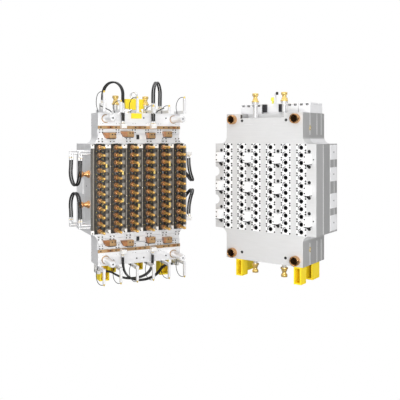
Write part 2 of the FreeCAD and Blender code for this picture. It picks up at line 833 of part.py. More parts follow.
def lock_blocks():
    """Raised blocks between the columns."""
    half_width, half_height = lock_width / 2, lock_height / 2
    return group([box(x - half_width, x + half_width, -lock_proud, 0,
                      j * lock_row_pitch - half_height, j * lock_row_pitch + half_height)
                  for x in (-3 * column_pitch, -column_pitch, column_pitch, 3 * column_pitch)
                  for j in (-1, 0, 1)])


def guide_bushes():
    """Bronze bushes that the guide pins of the core half enter."""
    total = cavity_bush_proud + cavity_plate_thick
    bushes = []
    for x, z in pin_places:
        start = (x, -cavity_bush_proud, z)
        whole = fuse([bar(start, (0, 1, 0), cavity_bush_collar_radius, cavity_bush_proud),
                      bar(start, (0, 1, 0), cavity_bush_radius, total)])
        bushes.append(whole.cut(rod(start, (0, 1, 0), guide_pin_radius + running_clearance, total)))
    return group(bushes)


def manifold_plate():
    """Plate round the melt manifold, bored where the guide pins pass."""
    plate = cross_plate(cavity_half_width, cavity_tab_half_width, manifold_front, manifold_back)
    radius = flat_radius(guide_pin_radius + 2, fitting_sides)
    return plate.cut([bar((x, manifold_front, z), (0, 1, 0), radius, 70) for x, z in pin_places])


def cavity_backing_plate():
    return cross_plate(cavity_half_width, cavity_tab_half_width, manifold_back, cavity_backing_back)


def cavity_clamp_plate():
    """Rear plate with the opening for the sprue bush and the seat of the locating ring."""
    plate = cross_plate(cavity_half_width, cavity_tab_half_width, cavity_backing_back, cavity_half_back)
    opening = bar((0, cavity_backing_back, 0), (0, 1, 0), sprue_radius, cavity_clamp_thick)
    seat = rod((0, cavity_half_back - locating_seat_depth, 0), (0, 1, 0),
               locating_flange_radius + locating_seat_clearance, locating_seat_depth + slip)
    return plate.cut([opening, seat])


def locating_ring():
    """Ring that centres the cavity half on the platen, with a flange let into the clamp plate."""
    bore, rim, proud = nozzle_bore_radius, locating_ring_radius, locating_ring_proud
    flange, seat = locating_flange_radius, -locating_seat_depth
    profile = [(bore, seat), (flange, seat), (flange, 0), (rim, 0), (rim, proud - 3),
               (rim - 3, proud), (bore, proud)]
    return turned(profile, (0, cavity_half_back, 0), (0, 1, 0))


def sprue_bush():
    """Bush that takes the machine nozzle, with a hollow seat."""
    length = cavity_clamp_thick - 10.0
    seat_depth = 12.0
    body = bar((0, cavity_backing_back, 0), (0, 1, 0), sprue_radius, length)
    seat = bar((0, cavity_backing_back + length, 0), (0, -1, 0), 14, seat_depth, end_radius=4)
    return body.cut([seat, bar((0, cavity_backing_back, 0), (0, 1, 0), 4, length - seat_depth)])


def cavity_feet():
    side, top = cavity_tab_half_width, -face_half_height
    rear_front, rear_back = manifold_back - 47.0, cavity_half_back - 56.0
    return group([
        channel_foot(91 - side, 152 - side, 4, 92, top), channel_foot(side - 81, side - 17, 4, 92, top),
        channel_foot(17 - side, 81 - side, rear_front, rear_back, top),
        channel_foot(side - 81, side - 17, rear_front, rear_back, top),
    ])


def cavity_pipes():
    """Water pipes up from the recess in the top edge and short roots below the plate."""
    start = face_half_height - top_recess_depth
    pipes = []
    for x in (cavity_coupling_left_x, cavity_coupling_right_x):
        pipes.append(bar((x, cavity_coupling_y, start), (0, 0, 1), pipe_radius, cavity_pipe_top - start))
        pipes.append(bar((x, cavity_coupling_y, -face_half_height), (0, 0, -1), pipe_radius + 4,
                         cavity_root_drop))
    return group(pipes)


def cavity_couplings():
    parts = []
    for x in (cavity_coupling_left_x, cavity_coupling_right_x):
        parts.append(coupling((x, cavity_coupling_y, cavity_pipe_top), (0, 0, 1)))
        parts.append(coupling((x, cavity_coupling_y, -face_half_height - cavity_root_drop), (0, 0, -1)))
    return group(parts)


def heater_boxes():
    """Terminal boxes of the manifold heaters on the top edge."""
    top = face_half_height + heater_box_height
    spans = ((-304, -100), (138, 238), (242, 344))
    boxes = []
    for left, right in spans:
        case = box(left, right, heater_box_front, heater_box_back, face_half_height, top)
        edges = [e for e in case.Edges if abs(e.BoundBox.ZMin - e.BoundBox.ZMax) > heater_box_height - 1]
        boxes.append(case.makeChamfer(heater_box_chamfer, edges))
    return group(boxes)


def heater_panel():
    """Connector panel between the boxes with an upright post."""
    top = face_half_height + heater_box_height
    panel = box(-96, 101, 170, 230, face_half_height, top)
    post = box(62, 86, 232, 262, face_half_height, top + 62)
    return group([panel, post])


def heater_plugs():
    """Dark multi-pole plugs at both ends of the connector panel."""
    low, high = face_half_height + 14, face_half_height + heater_box_height - 8
    return group([box(x0, x0 + 36, 150, 170, low, high) for x0 in (-92, 61)])


def side_covers():
    """Cover plates over the wiring channels on the right side."""
    spans = ((230, 350), (55, 168), (-163, -43), (-344, -219))
    return group([box(cavity_half_width, cavity_half_width + side_cover_thick,
                      manifold_back + 6, cavity_half_back - 14, low, high) for low, high in spans])


def stand(shape, turn, x, y):
    """Turn a half about the upright axis and set it on the floor."""
    placed = shape.copy()
    placed.Placement = Placement(Vector(x, y, -floor_z), Rotation(Vector(0, 0, 1), turn)) * placed.Placement
    return placed


core_half_nodes = {
    "stripper_plate": stripper_plate(),
    "cover_strips": cover_strips(),
    "wear_strips": wear_strips(),
    "slides_left": slide_set(-1),
    "slides_right": slide_set(1),
    "neck_rings_left": neck_rings(-1),
    "neck_rings_right": neck_rings(1),
    "cam_blocks_left": cam_blocks(-1),
    "cam_blocks_right": cam_blocks(1),
    "core_pins": core_pins(),
    "core_plate": core_plate(),
    "guide_pins": guide_pins(),
    "pin_bushes": pin_bushes(),
    "core_backing_plate": core_backing_plate(),
    "core_clamp_plate": core_clamp_plate(),
    "core_feet": core_feet(),
    "lifting_bridge": lifting_bridge(),
    "lifting_eye": lifting_eye(),
    "core_pipes": core_pipes(),
    "core_couplings": core_couplings(),
    "side_couplings": side_couplings(),
    "finger_arms": finger_arms(),
    "finger_tips": finger_tips(),
    "finger_tubes": finger_tubes(),
    "core_side_cover": core_side_cover(),
    "ports_on_stripper": ports_on_stripper(),
    "ports_on_plates": ports_on_plates(),
}

hose_nodes = {}
for name, route in hose_pairs().items():
    hose_nodes[name], tightest, length = tube(route, hose_radius)
    expected = math.pi * hose_radius ** 2 * length
    print(name, "length", round(length), "tightest bend", round(tightest),
          "volume over section times length", round(hose_nodes[name].Volume / expected, 4))

cavity_half_nodes = {
    "cavity_plate": cavity_plate(),
    "cavity_inserts": cavity_inserts(),
    "lock_blocks": lock_blocks(),
    "guide_bushes": guide_bushes(),
    "manifold_plate": manifold_plate(),
    "cavity_backing_plate": cavity_backing_plate(),
    "cavity_clamp_plate": cavity_clamp_plate(),
    "locating_ring": locating_ring(),
    "sprue_bush": sprue_bush(),
    "cavity_feet": cavity_feet(),
    "cavity_pipes": cavity_pipes(),
    "cavity_couplings": cavity_couplings(),
    "heater_boxes": heater_boxes(),
    "heater_panel": heater_panel(),
    "heater_plugs": heater_plugs(),
    "side_covers": side_covers(),
}

nodes = {}
for name, shape in core_half_nodes.items():
    nodes[name] = stand(shape, core_half_turn, core_half_x, core_half_y)
for name, shape in cavity_half_nodes.items():
    nodes[name] = stand(shape, cavity_half_turn, cavity_half_x, cavity_half_y)

# The origin is on the floor, under the middle of the whole set without its hoses.
whole_box = FreeCAD.BoundBox()
for shape in nodes.values():
    whole_box.add(shape.optimalBoundingBox())
to_origin = Vector(-whole_box.Center.x, -whole_box.Center.y, 0)
for name, shape in hose_nodes.items():
    nodes[name] = stand(shape, core_half_turn, core_half_x, core_half_y)

os.makedirs("parts", exist_ok=True)
for name, shape in nodes.items():
    shape.translate(to_origin)
    shape.exportStep(os.path.join("parts", name + ".step"))
print("origin moved by", to_origin)
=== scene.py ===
import json
import math

import bmesh
import bpy
from mathutils import Matrix, Vector


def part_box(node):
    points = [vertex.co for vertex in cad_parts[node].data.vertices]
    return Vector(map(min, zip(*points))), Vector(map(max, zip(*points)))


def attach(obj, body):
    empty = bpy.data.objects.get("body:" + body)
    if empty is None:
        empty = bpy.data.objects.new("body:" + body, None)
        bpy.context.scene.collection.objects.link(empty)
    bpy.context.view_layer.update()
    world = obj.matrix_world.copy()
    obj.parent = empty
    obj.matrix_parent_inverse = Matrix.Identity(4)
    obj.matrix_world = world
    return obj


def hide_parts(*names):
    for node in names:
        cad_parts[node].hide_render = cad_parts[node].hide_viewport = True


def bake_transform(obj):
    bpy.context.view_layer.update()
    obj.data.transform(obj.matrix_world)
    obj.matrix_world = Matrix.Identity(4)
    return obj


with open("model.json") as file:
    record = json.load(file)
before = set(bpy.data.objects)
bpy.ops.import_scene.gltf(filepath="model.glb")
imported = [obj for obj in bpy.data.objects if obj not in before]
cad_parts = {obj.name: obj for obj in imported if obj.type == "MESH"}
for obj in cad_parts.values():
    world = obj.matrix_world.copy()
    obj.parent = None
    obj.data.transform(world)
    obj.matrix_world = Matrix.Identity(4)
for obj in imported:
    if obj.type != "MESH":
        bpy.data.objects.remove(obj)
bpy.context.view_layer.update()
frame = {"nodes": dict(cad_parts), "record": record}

# Each half is drawn in its own frame in millimetres: x to the right along the parting face,
# y into the half, z up from the middle of the rows.
MM = 0.001
CORE_TURN = 25.2
CAVITY_TURN = -36.1
CORE_CLAMP_MIDDLE_Y = 386.3
CAVITY_CLAMP_MIDDLE_Y = 370.0
FLOOR_Z = -745.0

# Sizes of the mould that the added pieces follow
COLUMN_PITCH = 135.6
ROW_PITCH = 60.0
COLUMNS = [(k - 2.5) * COLUMN_PITCH for k in range(6)]
ROWS = [(5.5 - j) * ROW_PITCH for j in range(12)]
STACKS = [(x, z) for x in COLUMNS for z in ROWS]
STACK_HALF_HEIGHT = 354.0
EDGE = 606.0
CORE_BACKING_BACK = 323.3
MANIFOLD_FRONT = 128.0
MANIFOLD_BACK = 258.0
CAVITY_BACKING_BACK = 340.0
CORE_SIDE = 410.0
CORE_TAB = 352.0
CAVITY_SIDE = 466.0
CAVITY_TAB = 353.0
PIN_PLACES = [(sx * 291.0, sz * 558.0) for sx in (-1, 1) for sz in (-1, 1)]
CORE_PLATE_FRONT = 78.3
CORE_PLATE_BACK = 198.3
CAVITY_BACK = 400.0
WINDOW_HALF = 44.3
STRIP_FRONT = -4.0
WEB_SEAT = 7.7
INSERT_HALF_WIDTH = 43.0
INSERT_HALF_HEIGHT = 29.8
CORE_PIPE_X = (-162.0, 100.0)
CORE_PIPE_Y = 150.0
CAVITY_PIPE_X = (-108.0, 160.0)
CAVITY_PIPE_Y = 60.0
SLIDES = ((-1, "left"), (1, "right"))
FORWARD = (0, -1, 0)
BACKWARD = (0, 1, 0)
UP = (0, 0, 1)
DOWN = (0, 0, -1)
LEFT = (-1, 0, 0)
RIGHT = (1, 0, 0)


def half_matrix(plate, middle_y, turn):
    """Local millimetres of one half to row metres, found from a plate that is centred on that half."""
    low, high = (Vector(corner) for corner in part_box(plate))
    centre = (low + high) / 2
    rotation = Matrix.Rotation(math.radians(turn), 4, "Z")
    start = centre - rotation @ Vector((0, middle_y * MM, 0))
    start.z = -FLOOR_Z * MM
    return Matrix.Translation(start) @ rotation @ Matrix.Scale(MM, 4)


CORE = half_matrix("core_clamp_plate", CORE_CLAMP_MIDDLE_Y, CORE_TURN)
CAVITY = half_matrix("cavity_clamp_plate", CAVITY_CLAMP_MIDDLE_Y, CAVITY_TURN)


# Materials

EDGE_RADIUS = 0.0016
SHARP_ANGLE = 35.0
SIDE_SHADE_FADE = {"From Min": 0.93, "From Max": 0.995}


def node(tree, kind, values=()):
    """New shader node with its constants set on its own sockets."""
    made = tree.nodes.new("ShaderNode" + kind)
    for socket, value in dict(values).items():
        made.inputs[socket].default_value = value
    return made


def link(source, output, target, entry):
    """Link from an output of one node to an input of another."""
    source.id_data.links.new(source.outputs[output], target.inputs[entry])


def colour_ramp(tree, stops):
    """Colour ramp through stops of a position and a colour each."""
    made = node(tree, "ValToRGB")
    elements = made.color_ramp.elements
    for _ in stops[2:]:
        elements.new(0.5)
    for element, (position, colour) in zip(elements, stops):
        element.position = position
        element.color = (*colour, 1)
    return made


def mix_by_ray(tree, ray, kind, other, seen):
    """Shader that is one thing for a kind of ray and another for all the rest."""
    made = node(tree, "MixShader")
    link(ray, kind, made, "Fac")
    link(other, 0, made, 1)
    link(seen, 0, made, 2)
    return made


def height_colours(tree, place, middle, ends):
    """Colour that changes where the stacks end, read from the height above the floor."""
    split = node(tree, "SeparateXYZ")
    link(place, "Object", split, "Vector")
    span = node(tree, "MapRange", {"From Max": -2 * FLOOR_Z * MM})
    link(split, "Z", span, "Value")
    reach = (STACK_HALF_HEIGHT + 3) / (-2 * FLOOR_Z)
    bands = colour_ramp(tree, [(0.0, ends), (0.5 - reach, middle), (0.5 + reach, ends)])
    bands.color_ramp.interpolation = "CONSTANT"
    link(span, "Result", bands, "Fac")
    return bands.outputs["Color"]


def painted_side_shade(tree, place, colour, sides):
    """Painted shade: a darker colour on the narrow sides of the cavity plates, read from the way a face
    looks.
    """
    along = node(tree, "VectorMath")
    along.operation = "DOT_PRODUCT"
    along.inputs[1].default_value = Matrix.Rotation(math.radians(CAVITY_TURN), 3, "Z") @ Vector(RIGHT)
    link(place, "Normal", along, 0)
    both = node(tree, "Math")
    both.operation = "ABSOLUTE"
    link(along, "Value", both, 0)
    fade = node(tree, "MapRange", SIDE_SHADE_FADE)
    link(both, "Value", fade, "Value")
    mix = tree.nodes.new("ShaderNodeMix")
    mix.data_type = "RGBA"
    mix.inputs["B"].default_value = (*sides, 1)
    link(fade, "Result", mix, "Factor")
    tree.links.new(colour, mix.inputs["A"])
    return mix.outputs["Result"]


def material(name, rgb, metallic=0.0, rough=0.4, mottle=0.08, grain=9.0, coat=0.0, brushed=0.0, ends=None,
             sides=None):
    """Procedural material: a base colour mottled by noise, roughness that varies and softened edges.

    With ends, that colour takes over above and below the stacks; with sides, that colour takes over on the
    plates' narrow sides as painted shade.
    """
    made = bpy.data.materials.new(name)
    made.use_nodes = True
    tree = made.node_tree
    shader = tree.nodes["Principled BSDF"]
    place = node(tree, "TexCoord")
    stretch = node(tree, "Mapping", {"Scale": (1, 1, 1 + 14 * brushed)})
    noise = node(tree, "TexNoise", {"Scale": grain, "Detail": 5.0})
    link(place, "Object", stretch, "Vector")
    link(stretch, "Vector", noise, "Vector")
    ramp = colour_ramp(tree, [(0.3, [c * (1 - mottle) for c in rgb]),
                              (0.7, [min(1, c * (1 + mottle)) for c in rgb])])
    link(noise, "Fac", ramp, "Fac")
    colour = height_colours(tree, place, rgb, ends) if ends else ramp.outputs["Color"]
    # The narrow sides get a darker colour: painted shade.
    colour = painted_side_shade(tree, place, colour, sides) if sides else colour
    tree.links.new(colour, shader.inputs["Base Color"])
    spread = node(tree, "MapRange", {"To Min": max(0.02, rough * 0.85), "To Max": min(1, rough * 1.2)})
    link(noise, "Fac", spread, "Value")
    link(spread, "Result", shader, "Roughness")
    bevel = node(tree, "Bevel", {"Radius": EDGE_RADIUS})
    bevel.samples = 4
    link(bevel, "Normal", shader, "Normal")
    shader.inputs["Metallic"].default_value = metallic
    shader.inputs["Coat Weight"].default_value = coat
    return made


SLOT_LOOKS = {
    # The sides colours are painted shade on the plates' narrow sides.
    "mould_steel": dict(rgb=(0.82, 0.82, 0.83), metallic=0.25, rough=0.34, mottle=0.04, brushed=0.6,
                        sides=(0.42, 0.42, 0.42)),
    "cavity_steel": dict(rgb=(0.69, 0.69, 0.69), metallic=0.12, rough=0.42, mottle=0.02, brushed=0.6,
                         sides=(0.42, 0.42, 0.42)),
    "polished_core": dict(rgb=(0.96, 0.60, 0.18), metallic=0.65, rough=0.25, mottle=0.05),
    "neck_copper": dict(rgb=(0.70, 0.41, 0.22), metallic=0.75, rough=0.25, mottle=0.05),
    "bronze": dict(rgb=(0.42, 0.26, 0.12), metallic=0.4, rough=0.34, mottle=0.30, grain=16.0),
    # The slides' dark middle is partly their own dark steel and partly painted shade of the gaps between the
    # rings.
    "slide_steel": dict(rgb=(0.035, 0.033, 0.03), metallic=0.5, rough=0.30, ends=(0.86, 0.86, 0.87)),
    "insert_steel": dict(rgb=(0.97, 0.97, 0.97), metallic=0.05, rough=0.34, mottle=0.03),
    "strip_aluminium": dict(rgb=(0.90, 0.89, 0.87), metallic=0.35, rough=0.32, mottle=0.03),
    "coupling_steel": dict(rgb=(0.88, 0.88, 0.89), metallic=0.6, rough=0.22),
    "coupling_brass": dict(rgb=(0.95, 0.68, 0.24), metallic=0.65, rough=0.24),
    "yellow_paint": dict(rgb=(1.0, 0.76, 0.02), rough=0.4, mottle=0.02, coat=0.2),
    "hose_rubber": dict(rgb=(0.006, 0.006, 0.007), rough=0.32, mottle=0.02, grain=2.0, coat=0.2),
    "box_grey": dict(rgb=(0.88, 0.88, 0.89), metallic=0.1, rough=0.4, mottle=0.03),
    "plug_black": dict(rgb=(0.02, 0.02, 0.025), rough=0.45),
}
ADDED_LOOKS = {
    "dark_hole": dict(rgb=(0.012, 0.012, 0.013), rough=0.6, mottle=0.3),
    "painted_bore_shade": dict(rgb=(0.03, 0.03, 0.035), metallic=0.7, rough=0.35),
    "painted_arc_shade": dict(rgb=(0.16, 0.16, 0.165), metallic=0.3, rough=0.4),
    "screw_dark": dict(rgb=(0.04, 0.04, 0.045), metallic=0.6, rough=0.35),
    "screw_bright": dict(rgb=(0.85, 0.85, 0.86), metallic=0.8, rough=0.25),
    "gold_bit": dict(rgb=(0.98, 0.68, 0.14), metallic=0.45, rough=0.25),
    "painted_tip_glint": dict(rgb=(1.0, 0.78, 0.25), metallic=0.1, rough=0.3),
    "strip_light": dict(rgb=(0.27, 0.255, 0.225), metallic=0.3, rough=0.35, mottle=0.10, grain=30.0),
    "bush_bronze": dict(rgb=(0.66, 0.38, 0.18), metallic=0.95, rough=0.20, mottle=0.05),
    "pin_steel": dict(rgb=(0.93, 0.93, 0.94), metallic=0.35, rough=0.22, mottle=0.02),
    "painted_seam_highlight": dict(rgb=(0.97, 0.97, 0.96), rough=0.4, mottle=0.01),
    "copper_wedge": dict(rgb=(0.30, 0.12, 0.035), metallic=0.2, rough=0.32, mottle=0.3, grain=20.0),
    "strip_grey": dict(rgb=(0.085, 0.08, 0.072), metallic=0.25, rough=0.30, mottle=0.12, brushed=0.4),
    "coupling_copper": dict(rgb=(0.78, 0.42, 0.18), metallic=0.9, rough=0.26),
    "yellow_cap": dict(rgb=(0.95, 0.90, 0.10), rough=0.4),
}
looks = {name: material(name, **values) for name, values in {**SLOT_LOOKS, **ADDED_LOOKS}.items()}


def paint_nodes():
    """Gives each CAD node the look of its slot in the record."""
    for part in frame["record"]["subparts"]:
        materials = frame["nodes"][part["node"]].data.materials
        materials.clear()
        materials.append(looks[part["material_slot"]])


# Building blocks of the added pieces

def new_object(name, data):
    """Object with its data, put into the scene."""
    made = bpy.data.objects.new(name, data)
    bpy.context.collection.objects.link(made)
    return made


class Piece:
    """Faces collected in the local millimetres of one half, turned into one object at the end."""

    def __init__(self, name, half, body, look, slot=None):
        self.name, self.half, self.body = name, half, body
        self.looks = [look]
        self.slot = slot or look
        self.verts, self.faces, self.marks = [], [], []

    def add(self, verts, faces, look=None):
        first = len(self.verts)
        self.verts += [Vector(v) for v in verts]
        self.faces += [tuple(first + i for i in face) for face in faces]
        self.marks += [self.look_index(look) if look else 0] * len(faces)

    def look_index(self, look):
        if look not in self.looks:
            self.looks.append(look)
        return self.looks.index(look)

    def finish(self, *replaced):
        mesh = bpy.data.meshes.new(self.name)
        mesh.from_pydata([self.half @ v for v in self.verts], [], self.faces)
        for look in self.looks:
            mesh.materials.append(looks[look])
        for face, mark in zip(mesh.polygons, self.marks):
            face.material_index = mark
        work = bmesh.new()
        work.from_mesh(mesh)
        bmesh.ops.recalc_face_normals(work, faces=work.faces)
        work.to_mesh(mesh)
        work.free()
        mesh.shade_smooth()
        mesh.set_sharp_from_angle(angle=math.radians(SHARP_ANGLE))
        made = new_object(self.name, mesh)
        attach(made, self.body)
        if replaced:
            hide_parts(*replaced)
        return made


def block(piece, x, y, z, chamfer=1.5, look=None):
    """Block between pairs of limits with chamfered edges."""
    spans = [sorted(x), sorted(y), sorted(z)]
    cut = min([chamfer] + [(high - low) * 0.45 for low, high in spans])
    verts, faces, index = [], [], {}
    for sx in (0, 1):
        for sy in (0, 1):
            for sz in (0, 1):
                for axis in range(3):
                    place = []
                    for a, side in enumerate((sx, sy, sz)):
                        inset = 0 if a == axis else cut
                        place.append(spans[a][side] + (inset if side == 0 else -inset))
                    index[sx, sy, sz, axis] = len(verts)
                    verts.append(place)
    sides = (0, 1)
    ring = ((0, 0), (1, 0), (1, 1), (0, 1))
    for axis in range(3):
        others = [a for a in range(3) if a != axis]
        for side in sides:
            face = []
            for p, q in ring:
                corner = [0, 0, 0]
                corner[axis], corner[others[0]], corner[others[1]] = side, p, q
                face.append(index[(*corner, axis)])
            faces.append(face)
        for p, q in ring:
            face = []
            for side, kind in ((0, 0), (0, 1), (1, 1), (1, 0)):
                corner = [0, 0, 0]
                corner[axis], corner[others[0]], corner[others[1]] = side, p, q
                face.append(index[(*corner, others[kind])])
            faces.append(face)
    for sx in sides:
        for sy in sides:
            for sz in sides:
                faces.append([index[sx, sy, sz, axis] for axis in range(3)])
    piece.add(verts, faces, look)


def lathe(piece, start, direction, profile, sides=24, span=(0.0, 360.0), look=None):
    """Solid of revolution from (radius, distance) points, whole or over a span of degrees."""
    way = Vector(direction).normalized()
    across = Vector(UP if abs(way.z) < 0.9 else RIGHT)
    across = (across - way * across.dot(way)).normalized()
    beside = way.cross(across)
    whole = span[1] - span[0] >= 360
    count = sides if whole else sides + 1
    verts = []
    for i in range(count):
        angle = math.radians(span[0] + (span[1] - span[0]) * i / sides)
        out = across * math.cos(angle) + beside * math.sin(angle)
        verts += [Vector(start) + way * distance + out * radius for radius, distance in profile]
    n, faces = len(profile), []
    for i in range(sides):
        j = (i + 1) % count
        for k in range(n):
            l = (k + 1) % n
            if profile[k][0] < 1e-6 and profile[l][0] < 1e-6:
                continue
            face = [i * n + k, j * n + k, j * n + l, i * n + l]
            if profile[k][0] < 1e-6:
                face.pop(1)
            elif profile[l][0] < 1e-6:
                face.pop(2)
            faces.append(face)
    if not whole:
        faces += [list(range(n)), list(reversed(range((count - 1) * n, count * n)))]
    piece.add(verts, faces, look)


def merge_axis(made):
    """Joins the doubled points that lie on the axes of lathe work."""
    work = bmesh.new()
    work.from_mesh(made.data)
    bmesh.ops.remove_doubles(work, verts=work.verts, dist=1e-6)
    work.to_mesh(made.data)
    work.free()


def disc(piece, x, y, z, radius, depth, look="dark_hole", direction=FORWARD, sides=16):
    """Low round boss or dark plug that stands on a face."""
    rim = min(0.5, depth / 2)
    lathe(piece, (x, y, z), direction, [(0, 0), (radius, 0), (radius, depth - rim), (radius - rim, depth),
                                        (0, depth)], sides, look=look)


def socket_screw(piece, place, direction, radius, height):
    """Screw head with a hexagon socket, its dark plug painted shade."""
    lathe(piece, place, direction, [(0, 0), (radius, 0), (radius, height * 0.7), (radius * 0.86, height),
                                    (radius * 0.5, height), (radius * 0.5, height * 0.4),
                                    (0, height * 0.4)], 18, look="screw_bright")
    # Dark hexagon plug in the head's recess: painted shade.
    top = Vector(place) + Vector(direction) * (height * 0.42)
    lathe(piece, top, direction, [(0, 0), (radius * 0.48, 0), (radius * 0.48, height * 0.2),
                                  (0, height * 0.2)], 6, look="dark_hole")


def ring_points(centre, across, beside, radius, sides):
    """Points of one ring round a centre."""
    angles = [2 * math.pi * k / sides for k in range(sides)]
    return [centre + (across * math.cos(a) + beside * math.sin(a)) * radius for a in angles]


def ring_faces(rings, sides, closed=False):
    """Faces between rings of points, and from the last ring back to the first when closed."""
    faces = []
    for i in range(rings if closed else rings - 1):
        j = (i + 1) % rings
        for k in range(sides):
            l = (k + 1) % sides
            faces.append((i * sides + k, i * sides + l, j * sides + l, j * sides + k))
    return faces


def round_tube(piece, points, radius, sides=12, look=None):
    """Round tube through points, closed at both ends."""
    points = [Vector(p) for p in points]
    across = (points[1] - points[0]).orthogonal().normalized()
    verts = []
    for i, point in enumerate(points):
        way = (points[min(len(points) - 1, i + 1)] - points[max(0, i - 1)]).normalized()
        across = (across - way * across.dot(way)).normalized()
        verts += ring_points(point, across, way.cross(across), radius, sides)
    faces = ring_faces(len(points), sides)
    faces.append(tuple(reversed(range(sides))))
    faces.append(tuple(range(len(verts) - sides, len(verts))))
    piece.add(verts, faces, look)


def spline_points(name, route, detail=12):
    """Points read from a smooth spline through the route."""
    curve = bpy.data.curves.new(name + "_line", "CURVE")
    curve.dimensions = "3D"
    curve.resolution_u = detail
    spline = curve.splines.new("NURBS")
    spline.points.add(len(route) - 1)
    for point, place in zip(spline.points, route):
        point.co = (*place, 1)
    spline.order_u = 3
    spline.use_endpoint_u = True
    holder = new_object(name + "_line", curve)
    bpy.context.view_layer.update()
    line = bpy.data.meshes.new_from_object(holder)
    points = [v.co.copy() for v in line.vertices]
    bpy.data.objects.remove(holder)
    bpy.data.curves.remove(curve)
    bpy.data.meshes.remove(line)
    return points


# Stacks on the core half

RING_PROFILE = [(11.8, 0), (20, 0), (20, 9), (19, 10.5), (17.2, 11.5), (17.2, 13), (18.6, 14), (18.6, 20),
                (17, 22), (16.4, 34), (15.2, 36.5), (14.2, 38), (12.4, 38), (11.8, 36)]
CORE_PROFILE = [(0, 0), (11.5, 0), (11.5, 150), (11.2, 200), (9.8, 209.5), (7.4, 215.5), (4.2, 217.8),
                (0, 218.3)]
RING_SPLIT_ANGLE = 1.0
RING_SPLIT_GAP = 0.15


def neck_rings():
    """Smooth split neck rings with their collars, one half on each slide."""
    for side, mark in SLIDES:
        piece = Piece("rings_" + mark, CORE, mark + "_slides", "neck_copper")
        first = RING_SPLIT_ANGLE if side < 0 else 180 + RING_SPLIT_ANGLE
        for x, z in STACKS:
            lathe(piece, (x + side * RING_SPLIT_GAP, 0, z), FORWARD, RING_PROFILE, 12,
                  (first, first + 180 - 2 * RING_SPLIT_ANGLE))
        piece.finish("neck_rings_" + mark)


def core_pins():
    """Polished cores with rounded tips."""
    piece = Piece("cores_smooth", CORE, "fixed_parts", "polished_core")
    for x, z in STACKS:
        lathe(piece, (x, CORE_PLATE_FRONT, z), FORWARD, CORE_PROFILE, 20)
    merge_axis(piece.finish("core_pins"))


STRIP_END = 322.0
STRIP_SEAM = 0.3
GLINT_Z = ((185.0, -143.0), (126.0, -95.0))
GLINT_PROFILE = [(0, 0), (8, 0), (8, 6), (6.5, 9), (0, 9)]
WEAR_HOLES_X = (-330, -250, -205, -120, -40, 40, 120, 205, 250, 330)
WEAR_MARKS = ((-277, -233), (-16, 6), (283, 312))


def strips():
    """Cover strips with bright ends, patches, small screws and yellow bumps that are painted glints of the
    core tips, and marks on the wear strips.
    """
    edges = [-CORE_SIDE]
    for x in COLUMNS:
        edges += [x - WINDOW_HALF, x + WINDOW_HALF]
    edges.append(CORE_SIDE)
    piece = Piece("strips_dressed", CORE, "stripper", "strip_grey", "strip_aluminium")
    length = (-STRIP_END, STRIP_END)
    for k, (left, right) in enumerate(zip(edges[0::2], edges[1::2])):
        inner = 0 < k < len(COLUMNS)
        middle = (left + right) / 2
        block(piece, (left, right), (STRIP_FRONT, WEB_SEAT), length, 2.0)
        block(piece, (right - 10, right - 4), (STRIP_FRONT - 0.8, STRIP_FRONT - 0.1), length, 0.3,
              "strip_light")
        if inner:
            for z in ROWS[1:]:
                block(piece, (left + 2, left + 25), (STRIP_FRONT - 0.6, STRIP_FRONT - 0.1),
                      (z - 13, z + 15), 0.2, "strip_light")
                block(piece, (left + 22, left + 33), (STRIP_FRONT - 0.9, STRIP_FRONT - 0.65),
                      (z + 22, z + 37), 0.1, "dark_hole")
        if k > 0:
            for z in ROWS[1:]:
                disc(piece, right - 3.6, STRIP_FRONT, z + ROW_PITCH / 2, 3.4, 1.4, "screw_bright", sides=10)
        for sz in (-1, 1):
            block(piece, (left, right), (STRIP_FRONT, WEB_SEAT),
                  (sz * (STRIP_END + STRIP_SEAM), sz * STACK_HALF_HEIGHT), 2.0, "strip_aluminium")
            disc(piece, middle, STRIP_FRONT, sz * 345, 5.5, 0.6)
        if inner:
            # Yellow bumps: painted highlights where the core tips glint.
            for z in GLINT_Z[(k + 1) % 2]:
                for dz in (-7, 7):
                    lathe(piece, (middle - 15, STRIP_FRONT, z + dz), FORWARD, GLINT_PROFILE, 16,
                          look="painted_tip_glint")
    merge_axis(piece.finish("cover_strips"))
    wear = Piece("wear_strip_holes", CORE, "stripper", "dark_hole", "bronze")
    for x in WEAR_HOLES_X:
        for sz in (-1, 1):
            disc(wear, x, -2.0, sz * 490, 6.0, 0.6)
    for span in WEAR_MARKS:
        for sz in (-1, 1):
            block(wear, span, (-2.5, -2.05), (sz * 481, sz * 499), 0.2, "copper_wedge")
    merge_axis(wear.finish())


DOT_PAIRS = (-325.0, -190.0, -52.0, 62.0, 168.0, 303.0)
DOT_HALF_GAP = 11.0
TIE_FRONT = 8.0
TIE_DOT_Z = (450.0, 470.0)
LOWER_PAIRS = (-331.0, -236.0, -100.0, 78.0, 214.0, 330.0)
LOWER_HALF_GAP = 14.5


def screw_pairs(piece, places, half_gap, y, heights, radius=5.4, depth=0.5, look="dark_hole"):
    """Screws or holes side by side at each place, at heights below and above the middle."""
    for sz in (-1, 1):
        for x in places:
            for dx in (-half_gap, half_gap):
                for z in heights:
                    disc(piece, x + dx, y, sz * z, radius, depth, look)


